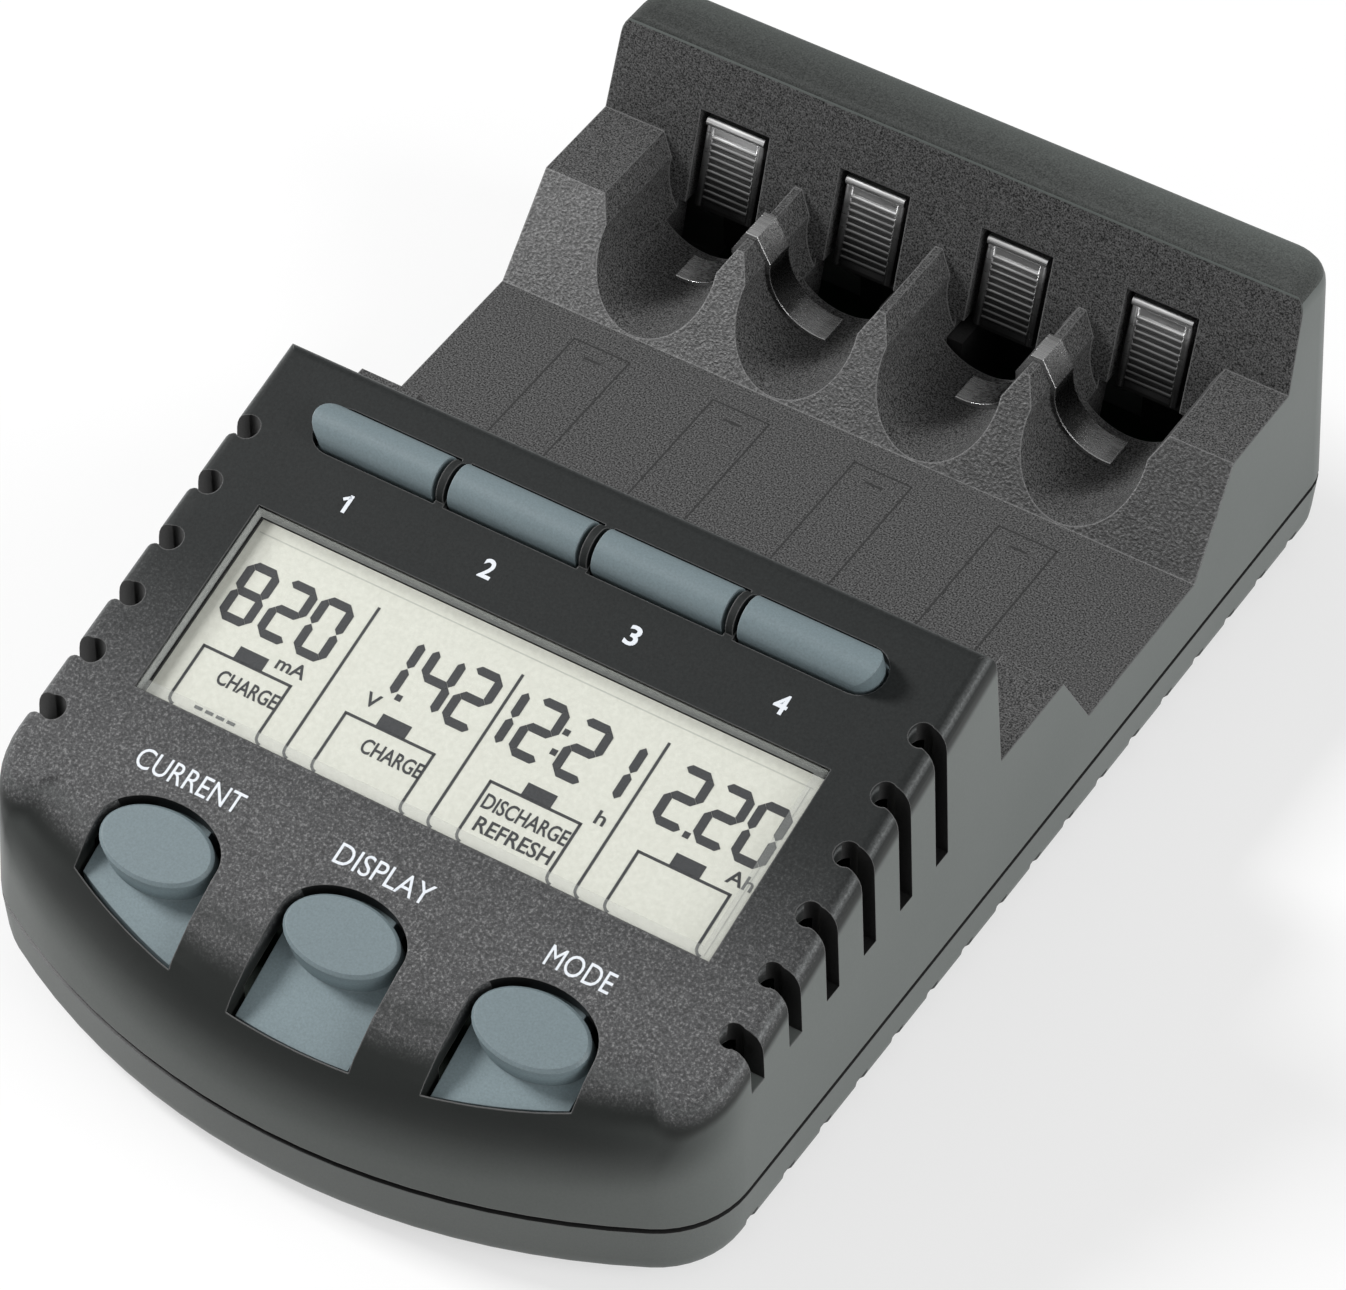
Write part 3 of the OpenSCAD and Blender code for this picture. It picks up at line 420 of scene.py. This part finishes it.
def lens_material():
    """Clear moulded plate: a thin gloss over what lies under it, stronger at grazing angles."""
    mat, ns, links, shader = new_material("lens_clear")
    ns.remove(shader)
    clear = ns.new("ShaderNodeBsdfTransparent")
    clear.inputs["Color"].default_value = (0.985, 0.99, 0.985, 1)
    gloss = ns.new("ShaderNodeBsdfGlossy")
    gloss.inputs["Roughness"].default_value = 0.05
    edge = ns.new("ShaderNodeFresnel")
    edge.inputs["IOR"].default_value = 1.4
    outside = ns.new("ShaderNodeMath")
    outside.operation = "SUBTRACT"
    outside.inputs[0].default_value = 1.0
    links.new(ns.new("ShaderNodeNewGeometry").outputs["Backfacing"], outside.inputs[1])
    share = ns.new("ShaderNodeMath")
    share.operation = "MULTIPLY"
    links.new(edge.outputs["Fac"], share.inputs[0])
    links.new(outside.outputs["Value"], share.inputs[1])
    both = ns.new("ShaderNodeMixShader")
    links.new(share.outputs["Value"], both.inputs["Fac"])
    links.new(clear.outputs["BSDF"], both.inputs[1])
    links.new(gloss.outputs["BSDF"], both.inputs[2])
    links.new(both.outputs["Shader"], ns["Material Output"].inputs["Surface"])
    return mat


def part_clear(mat, share):
    """The same material with clear plastic showing through it: share is what it keeps of its own look."""
    ns, links = mat.node_tree.nodes, mat.node_tree.links
    both = ns.new("ShaderNodeMixShader")
    both.inputs["Fac"].default_value = share
    links.new(ns.new("ShaderNodeBsdfTransparent").outputs["BSDF"], both.inputs[1])
    links.new(ns["Principled BSDF"].outputs["BSDF"], both.inputs[2])
    links.new(both.outputs["Shader"], ns["Material Output"].inputs["Surface"])
    return mat


finishes = {
    "housing_plastic": housing_plastic(),
    "tray_plastic": tray_plastic(),
    # Near black on recesses, vent walls, ledges and the parting groove: painted shade
    "recess_painted_shade": moulded("recess_painted_shade", grey(0.006), grey(0.013), 5.0, 0.008, 0.45, gloss=0.4),
    "bay_plastic": moulded(
        "bay_plastic", grey(0.006), grey(0.155), 6.0, 0.03, 0.6,
        # Edges with a painted highlight in a pale tone
        speckle=(0.37, 0.65), edge=(0.22, grey(0.21)), gloss=0.2,
    ),
    "cradle_plastic": cradle_plastic(),
    "block_plastic": block_plastic(),
    "key_plastic": key_plastic(),
    "lens_clear": lens_material(),
    # Chamfered rim of the lens: a grey, partly see-through colour that paints the bevel's sheen
    "lens_rim_painted_sheen": part_clear(
        moulded("lens_rim_painted_sheen", (0.46, 0.48, 0.46), (0.58, 0.60, 0.57), 2.0, 0.003, 0.2), 0.3
    ),
    "lcd_ground": moulded("lcd_ground", (0.715, 0.71, 0.645), (0.795, 0.79, 0.725), 2.2, 0.015, 0.7),
    "lcd_edge": moulded("lcd_edge", (0.50, 0.50, 0.46), (0.60, 0.60, 0.55), 6.0, 0.003, 0.6),
    "slider_plastic": moulded("slider_plastic", grey(0.006), grey(0.011), 6.0, 0.006, 0.4),
    # Contact plates: painted shadow at the foot in the pocket, paler up the plate, a painted highlight band
    # at the top
    "contact_nickel": metal(
        "contact_nickel", [(0.1, grey(0.09)), (0.45, grey(0.23)), (0.8, grey(0.38)), (0.93, grey(1.0))],
        0.34, X_AXIS, "negative_contact_1",
    ),
    "nub_nickel": metal(
        "nub_nickel", [(0, grey(0.50)), (1, grey(0.66))], 0.34, X_AXIS, "positive_contact_1"
    ),
    # Temperature strips: a painted glint at the low tip, a painted highlight on the ridge top and along the
    # edges
    "strip_aluminium": metal(
        "strip_aluminium", [(0.0, grey(1.0)), (0.10, grey(0.20)), (0.6, grey(0.16)), (0.95, grey(0.8))],
        # Edges with a painted highlight in a pale tone
        0.28, X_AXIS, "temperature_strip_left", edge=(0.16, grey(0.95)),
    ),
    "screw_steel": metal("screw_steel", [(0, grey(0.40)), (1, grey(0.45))], 0.35, X_AXIS, "housing_screws"),
    "coil_copper": metal(
        "coil_copper", [(0, (0.38, 0.19, 0.08)), (1, (0.42, 0.21, 0.10))], 0.3, Z_AXIS, "power_coil"
    ),
    "foot_rubber": moulded("foot_rubber", grey(0.012), grey(0.025), 4.0, 0.02, 0.8),
    "frame_white": moulded("frame_white", (0.74, 0.73, 0.68), (0.82, 0.81, 0.76), 4.0, 0.005, 0.5),
    "strip_rubber": moulded("strip_rubber", (0.07, 0.06, 0.05), (0.11, 0.10, 0.09), 5.0, 0.01, 0.8),
    # Main board: green solder mask darkened almost to black, painted shade seen down the wells
    "board_green": moulded("board_green", (0.003, 0.016, 0.006), (0.006, 0.026, 0.011), 1.5, 0.01, 0.5),
    "switch_black": moulded("switch_black", grey(0.018), grey(0.035), 5.0, 0.01, 0.5),
    "link_plastic": moulded("link_plastic", (0.52, 0.49, 0.40), (0.62, 0.59, 0.50), 4.0, 0.005, 0.55),
    "white_print": moulded("white_print", (0.72, 0.76, 0.82), (0.84, 0.87, 0.90), 6.0, 0.006, 0.6),
    "lcd_ink": moulded("lcd_ink", (0.030, 0.031, 0.036), (0.050, 0.051, 0.056), 5.0, 0.003, 0.6),
    "floor_line": moulded("floor_line", grey(0.018), grey(0.030), 5.0, 0.01, 0.7),
}


def mesh_object(name, mesh, finish, body="housing"):
    """Object at the origin with a finish, riding a body."""
    obj = bpy.data.objects.new(name, mesh)
    bpy.context.scene.collection.objects.link(obj)
    mesh.materials.clear()
    mesh.materials.append(finishes[finish])
    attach(obj, body)
    return obj


def merged_copy(node, smooth_deg):
    """Merged copy of a CAD node that stands for it, with its facets shaded smooth below an angle."""
    work = bmesh.new()
    work.from_mesh(nodes[node].data)
    bmesh.ops.remove_doubles(work, verts=work.verts, dist=2e-6)
    mesh = bpy.data.meshes.new(node + "_surface")
    work.to_mesh(mesh)
    work.free()
    mark_sharp(mesh, smooth_deg)
    obj = mesh_object(node + "_surface", mesh, slots[node], bodies[node])
    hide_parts(node)
    return obj


def mark_sharp(mesh, smooth_deg):
    """All faces smooth, and an edge sharp where its two faces meet at more than an angle."""
    facing = face_places(mesh)[1]
    sizes, edges = np.empty(len(facing), np.int32), np.empty(len(mesh.loops), np.int32)
    mesh.polygons.foreach_get("loop_total", sizes)
    mesh.loops.foreach_get("edge_index", edges)
    order = np.argsort(edges, kind="stable")
    normals = facing[np.repeat(np.arange(len(sizes)), sizes)[order]]
    first = np.searchsorted(edges[order], np.arange(len(mesh.edges)))
    meet = (normals[first] * normals[np.minimum(first + 1, len(normals) - 1)]).sum(1)
    mesh.polygons.foreach_set("use_smooth", np.ones(len(sizes), bool))
    mesh.edges.foreach_set("use_edge_sharp", meet < math.cos(math.radians(smooth_deg)))
    mesh.update()


def flat_weights(obj):
    """Normals weighted by face area, so that a broad flat stays flat beside a narrow roll."""
    weights = obj.modifiers.new("flat_faces", "WEIGHTED_NORMAL")
    weights.mode = "FACE_AREA_WITH_ANGLE"
    weights.weight = 80
    weights.keep_sharp = True


def small_bevel(obj, width_mm, min_deg=40):
    """Small rounded edges on a piece with plain faces."""
    bevel = obj.modifiers.new("edges", "BEVEL")
    bevel.width = width_mm * MM
    bevel.segments = 2
    bevel.limit_method = "ANGLE"
    bevel.angle_limit = math.radians(min_deg)


def face_places(mesh):
    """Middles in mm and directions of all faces of a mesh."""
    count = len(mesh.polygons)
    middle, facing = np.empty(count * 3), np.empty(count * 3)
    mesh.polygons.foreach_get("center", middle)
    mesh.polygons.foreach_get("normal", facing)
    return middle.reshape(-1, 3) / MM, facing.reshape(-1, 3)


def seam_faces(middle, facing):
    """Faces of the groove along the parting line."""
    return (np.abs(middle[:, 2] - SPLIT_Z) < 0.28) & (np.abs(facing[:, 2]) > 0.6)


def housing_zones(mesh):
    """Zone of each face of the upper housing, by its place and direction.

    Walls and panel are 0, recesses 1, which get painted shade, the bay 2, the cradle's face 3 and the top of
    the rear block 4.
    """
    middle, facing = face_places(mesh)
    x, y, z = middle.T
    height = (middle - PANEL_REAR) @ np.array(panel_out)
    upward = facing @ np.array(panel_out)
    from_bow = BOW_R - np.hypot(x, y - BOW_Y)
    outer_side = (np.abs(facing[:, 0]) > 0.9) & (np.abs(x) > 33.5)
    sunk = (height < -0.2) & (height > -14) & (np.abs(facing[:, 0]) < 0.8) & (upward < 0.5) & (from_bow > 3)
    ledge = (height < -0.4) & (upward > 0.9) & (from_bow > 16)
    recess = ((y < -2.6) & (sunk | ledge) & ~outer_side) | seam_faces(middle, facing)
    bay = (y >= -2.6) & (y < BLOCK_Y) & (z < 34.5) & (z > 9) & ~outer_side
    slope = math.radians(CRADLE_DEG)
    cradle = bay & (facing @ np.array([0, -math.sin(slope), math.cos(slope)]) > 0.995)
    block = (y >= BLOCK_Y) & (facing[:, 2] > 0.6)
    return np.select([cradle, bay, recess, block], [3, 2, 1, 4], 0).astype(np.int32)


def with_zones(obj, finishes_, zones):
    """More finishes on an object, and the zone of each face as its finish."""
    for finish in finishes_:
        obj.data.materials.append(finishes[finish])
    obj.data.polygons.foreach_set("material_index", np.asarray(zones, np.int32))
    return obj


for node, finish in slots.items():
    nodes[node].data.materials.clear()
    nodes[node].data.materials.append(finishes[finish])

upper = merged_copy("upper_housing", 30)
upper_finishes = ("recess_painted_shade", "bay_plastic", "cradle_plastic", "block_plastic")
flat_weights(with_zones(upper, upper_finishes, housing_zones(upper.data)))
lower = merged_copy("lower_housing", 30)
# Groove along the parting line in painted shade
flat_weights(with_zones(lower, ("recess_painted_shade",), seam_faces(*face_places(lower.data))))
for node in nodes:
    sprung = node.startswith(("slot_key", "contact_slider", "negative_contact", "temperature_strip"))
    if sprung or node.endswith("_key"):
        flat_weights(merged_copy(node, 30))
    elif node.startswith("positive_contact"):
        nub = merged_copy(node, 30)
        nub.data.materials[0] = finishes["nub_nickel"]
        flat_weights(nub)
    elif node in ("dc_inlet", "rubber_feet", "housing_screws"):
        small_bevel(merged_copy(node, 30), 0.1)
lens = merged_copy("lcd_lens", 20)
with_zones(lens, ("lens_rim_painted_sheen",), np.abs(face_places(lens.data)[1] @ np.array(panel_out)) < 0.95)


def stroke_outlines(rows):
    """Flat strokes as six-point outlines: each row is a start, an end, a width and the length of its tips."""
    rows = np.asarray(rows, float)
    a, b, width, tip = rows[:, 0:2], rows[:, 2:4], rows[:, 4:5], rows[:, 5:6]
    along = (b - a) / np.linalg.norm(b - a, axis=1, keepdims=True)
    side = np.stack([-along[:, 1], along[:, 0]], 1) * width / 2
    near, away = a + along * tip, b - along * tip
    return np.stack([a, near - side, away - side, b, away + side, near + side], 1)


def stroke_prisms(name, rows, low, high, place):
    """Closed prisms over strokes: every outline carried straight from one level to another, then placed."""
    flat = stroke_outlines(rows)
    count, n = flat.shape[:2]
    levels = np.broadcast_to(np.array([low, high])[None, :, None, None], (count, 2, n, 1))
    outlines = np.broadcast_to(flat[:, None], (count, 2, n, 2))
    points = np.concatenate([outlines, levels], 3).reshape(-1, 3)
    ring = np.arange(n)
    start = (np.arange(count) * 2 * n)[:, None]
    caps = np.concatenate([start + ring[::-1], start + n + ring])
    corners = np.stack([ring, (ring + 1) % n, n + (ring + 1) % n, n + ring], 1)
    walls = (start[:, :, None] + corners[None]).reshape(-1, 4)
    mesh = bpy.data.meshes.new(name)
    mesh.from_pydata((points * MM).tolist(), [], caps.tolist() + walls.tolist())
    mesh.transform(place)
    return mesh


SEGMENT_ENDS = {
    "a": ((0, 0), (1, 0)), "b": ((1, 0), (1, 0.5)), "c": ((1, 0.5), (1, 1)), "d": ((0, 1), (1, 1)),
    "e": ((0, 0.5), (0, 1)), "f": ((0, 0), (0, 0.5)), "g": ((0, 0.5), (1, 0.5)),
}
LIT = {"0": "abcdef", "1": "bc", "2": "abged", "4": "fgbc", "8": "abcdefg"}
READINGS = (
    ("8", -27.3), ("2", -23.3), ("0", -19.5), ("1", -12.1), ("4", -7.95), ("2", -4.15),
    ("1", -1.4), ("2", 2.65), ("2", 7.05), ("1", 10.5), ("2", 17.1), ("2", 21.1), ("0", 24.85),
)


def digit_strokes(character, x):
    """Seven-segment figure: pointed strokes along the middle lines of its segments, a hair apart."""
    inset, gap = STROKE / 2, 0.02
    ends = np.array([SEGMENT_ENDS[s] for s in LIT[character]], float)
    ends = ends * (DIGIT_W - STROKE, STROKE - DIGIT_H) + (x + inset, DIGIT_TOP - inset)
    along = ends[:, 1] - ends[:, 0]
    along /= np.linalg.norm(along, axis=1, keepdims=True)
    rest = np.tile([STROKE, inset], (len(ends), 1))
    return np.hstack([ends[:, 0] + along * gap, ends[:, 1] - along * gap, rest])


def line(x0, y0, x1, y1, width=0.26):
    """Plain stroke with square ends."""
    return [x0, y0, x1, y1, width, 0.0]


def bent_foot(x, top):
    """Upright line whose foot turns a little to the right, where the lens's rim bends it."""
    turn = np.radians([0, 30, 60, 85])
    knee = np.stack([x + KNEE_R * (1 - np.cos(turn)), KNEE_Y - KNEE_R * np.sin(turn)], 1)
    rows = [line(x, top, x, KNEE_Y)]
    return rows + [line(*a, *b) for a, b in zip(knee[:-1], knee[1:])]


art = np.vstack([digit_strokes(c, x) for c, x in READINGS]).tolist()
for x, y in DOTS:
    art.append(line(x, y, x + 0.6, y, 0.6))
for x in DIVIDERS_X:
    art += bent_foot(x, -19.4)
for x in SYMBOLS_X:
    art += bent_foot(x - 4.5, SYMBOL_TOP) + bent_foot(x + 4.55, SYMBOL_TOP)
    art.append(line(x - 4.63, SYMBOL_TOP, x + 4.68, SYMBOL_TOP))
    art.append(line(x - 1.5, SYMBOL_TOP + 0.7, x + 1.45, SYMBOL_TOP + 0.7, 1.35))
for x in DASHES_X:
    art.append(line(x, -34.8, x + 0.8, -34.8, 0.32))
glass = [line(-28.2, -17.7, 28.2, -17.7, 0.12), line(27.95, -17.7, 27.95, -35.2, 0.12)]
for name, rows, thick, finish in (
    ("lcd_glass_edges", glass, INK / 2, "lcd_edge"),
    ("lcd_figures", art, INK, "lcd_ink"),
):
    mesh_object(name, stroke_prisms(name, rows, LCD_FACE, LCD_FACE + thick, panel_place), finish)


def words(name, text, x, y, height, z, finish, width, weight=0.03, align="LEFT"):
    """Printed letters as a thin mesh on the panel plane, stretched to a whole width.

    The foot line is at x, y and the middle of the letters at level z; height is that of a capital. All in mm.
    """
    curve = bpy.data.curves.new(name, "FONT")
    curve.body = text
    curve.size = height * MM / CAPITAL_SHARE
    curve.offset = weight * height * MM
    curve.extrude = INK / 2 * MM
    curve.resolution_u = 4
    holder = bpy.data.objects.new(name, curve)
    bpy.context.scene.collection.objects.link(holder)
    bpy.context.view_layer.update()
    mesh = bpy.data.meshes.new_from_object(holder.evaluated_get(bpy.context.evaluated_depsgraph_get()))
    bpy.data.objects.remove(holder)
    spots = np.empty(len(mesh.vertices) * 3)
    mesh.vertices.foreach_get("co", spots)
    left, right = spots[0::3].min(), spots[0::3].max()
    start = {"LEFT": x, "CENTER": x - width / 2, "RIGHT": x - width}[align]
    mesh.transform(Matrix.Translation((-left, 0, 0)))
    mesh.transform(Matrix.Diagonal((width * MM / (right - left), 1, 1, 1)))
    mesh.transform(Matrix.Translation(Vector((start, y, z)) * MM))
    mesh.transform(panel_place)
    return mesh_object(name, mesh, finish)


PRINT = INK / 2 + HAIR
for i, width in enumerate((1.25, 1.25, 1.3), 2):
    words(f"numeral_{i}", str(i), -37.0 + i * 14.8, -13.4, 1.85, PRINT, "white_print", width, 0.03, "CENTER")
one = [line(-22.0, -13.4, -22.0, -11.55, 0.36), line(-22.62, -12.2, -22.0, -11.73, 0.3)]
mesh_object("numeral_1", stroke_prisms("numeral_1", one, HAIR, HAIR + INK, panel_place), "white_print")
for text, x, width in (("CURRENT", -19.6, 10.8), ("DISPLAY", 0.3, 9.5), ("MODE", 19.9, 6.4)):
    words("legend_" + text.lower(), text, x, -42.45, 2.0, PRINT, "white_print", width, 0.0, "CENTER")
LABEL = LCD_FACE + INK / 2
for i, (text, x, y, width) in enumerate((
    ("CHARGE", -17.55, -32.05, 6.1),
    ("CHARGE", -2.6, -32.05, 6.1),
    ("DISCHARGE", 12.0, -31.85, 8.4),
    ("REFRESH", 11.7, -34.0, 7.6),
), 1):
    words(f"lcd_word_{i}", text, x, y, 1.4, LABEL, "lcd_ink", width, 0.02, "RIGHT")
for i, (text, x, y, width) in enumerate((
    ("mA", -19.7, -28.5, 2.9),
    ("V", -10.9, -28.0, 1.4),
    ("h", 13.05, -28.8, 0.95),
    ("Ah", 25.9, -28.5, 2.5),
), 1):
    words(f"lcd_unit_{i}", text, x, y, 1.3, LABEL, "lcd_ink", width, 0.02)

# Cell outlines scored into the bay floor: two long lines, a cross line by the cradle, the poles marked.
# Half an outline's width, its near and far ends, and the widths of a scored line and a pole mark
floor_place = Matrix.Translation((0, 0, BAY_FLOOR_Z * MM))
HALF, NEAR, FAR, SCORE, POLE = 3.05, 2.0, 29.3, 0.18, 0.28
scores = []
for x in SLOTS_X - 1.25:
    scores += [line(x + side, NEAR, x + side, FAR, SCORE) for side in (-HALF, HALF)]
    scores += [line(x - HALF, FAR, x + HALF, FAR, SCORE), line(x - 0.9, 27.6, x + 0.9, 27.6, POLE)]
    scores += [line(x - 0.9, 4.5, x + 0.9, 4.5, POLE), line(x, 3.6, x, 5.4, POLE)]
mesh_object("floor_scores", stroke_prisms("floor_scores", scores, 0.0, 0.012, floor_place), "floor_line")


def studio():
    """Pale floor, a soft key above on the left, a broad light from the right and an even world."""
    world = bpy.data.worlds.new("studio")
    world.use_nodes = True
    world.node_tree.nodes["Background"].inputs["Color"].default_value = (1, 1, 1, 1)
    world.node_tree.nodes["Background"].inputs["Strength"].default_value = 0.36
    bpy.context.scene.world = world
    corners = np.array([(-1, -1, 0), (1, -1, 0), (1, 1, 0), (-1, 1, 0)]) * 4.0
    mesh = bpy.data.meshes.new("floor")
    mesh.from_pydata(corners.tolist(), [], [(0, 1, 2, 3)])
    floor = bpy.data.objects.new("floor", mesh)
    bpy.context.scene.collection.objects.link(floor)
    mat, ns, links, shader = new_material("floor")
    shader.inputs["Base Color"].default_value = (0.94, 0.94, 0.94, 1)
    shader.inputs["Roughness"].default_value = 0.9
    path = ns.new("ShaderNodeLightPath")
    seen = path.outputs["Is Camera Ray"]
    for name in ("Is Glossy Ray", "Is Transmission Ray"):
        either = ns.new("ShaderNodeMath")
        either.operation = "MAXIMUM"
        links.new(seen, either.inputs[0])
        links.new(path.outputs[name], either.inputs[1])
        seen = either.outputs["Value"]
    share = ns.new("ShaderNodeMath")
    share.operation = "MULTIPLY"
    share.inputs[1].default_value = 0.6
    links.new(seen, share.inputs[0])
    glow = ns.new("ShaderNodeEmission")
    both = ns.new("ShaderNodeMixShader")
    links.new(share.outputs["Value"], both.inputs["Fac"])
    links.new(shader.outputs["BSDF"], both.inputs[1])
    links.new(glow.outputs["Emission"], both.inputs[2])
    links.new(both.outputs["Shader"], ns["Material Output"].inputs["Surface"])
    mesh.materials.append(mat)
    for name, place, size, power in (
        ("key", (-0.75, -0.1, 0.62), 0.26, 8.5),
        ("right", (1.05, -0.05, 0.5), 0.8, 7.6),
    ):
        lamp = bpy.data.lights.new(name, "AREA")
        lamp.size = size
        lamp.energy = power
        obj = bpy.data.objects.new(name, lamp)
        obj.location = place
        obj.rotation_euler = (-Vector(place)).to_track_quat("-Z", "Y").to_euler()
        bpy.context.scene.collection.objects.link(obj)


def camera():
    """Camera at the photograph's place: azimuth, elevation and a slight roll, on a long lens."""
    az, el, roll = (math.radians(a) for a in (31.86, 46.12, 0.554))
    back = Vector((math.sin(az) * math.cos(el), -math.cos(az) * math.cos(el), math.sin(el)))
    right = Vector((math.cos(az), math.sin(az), 0))
    up = back.cross(right)
    across = right * math.cos(roll) + up * math.sin(roll)
    above = up * math.cos(roll) - right * math.sin(roll)
    data = bpy.data.cameras.new("camera")
    data.sensor_width = 36.0
    data.lens = 168.294
    data.clip_start = 0.01
    obj = bpy.data.objects.new("camera", data)
    turn = Matrix((across, above, back)).transposed().to_4x4()
    obj.matrix_world = Matrix.Translation(Vector((206.39, -328.59, 417.18)) * MM) @ turn
    bpy.context.scene.collection.objects.link(obj)
    bpy.context.scene.camera = obj


studio()
camera()
bpy.context.scene.view_settings.view_transform = "Standard"
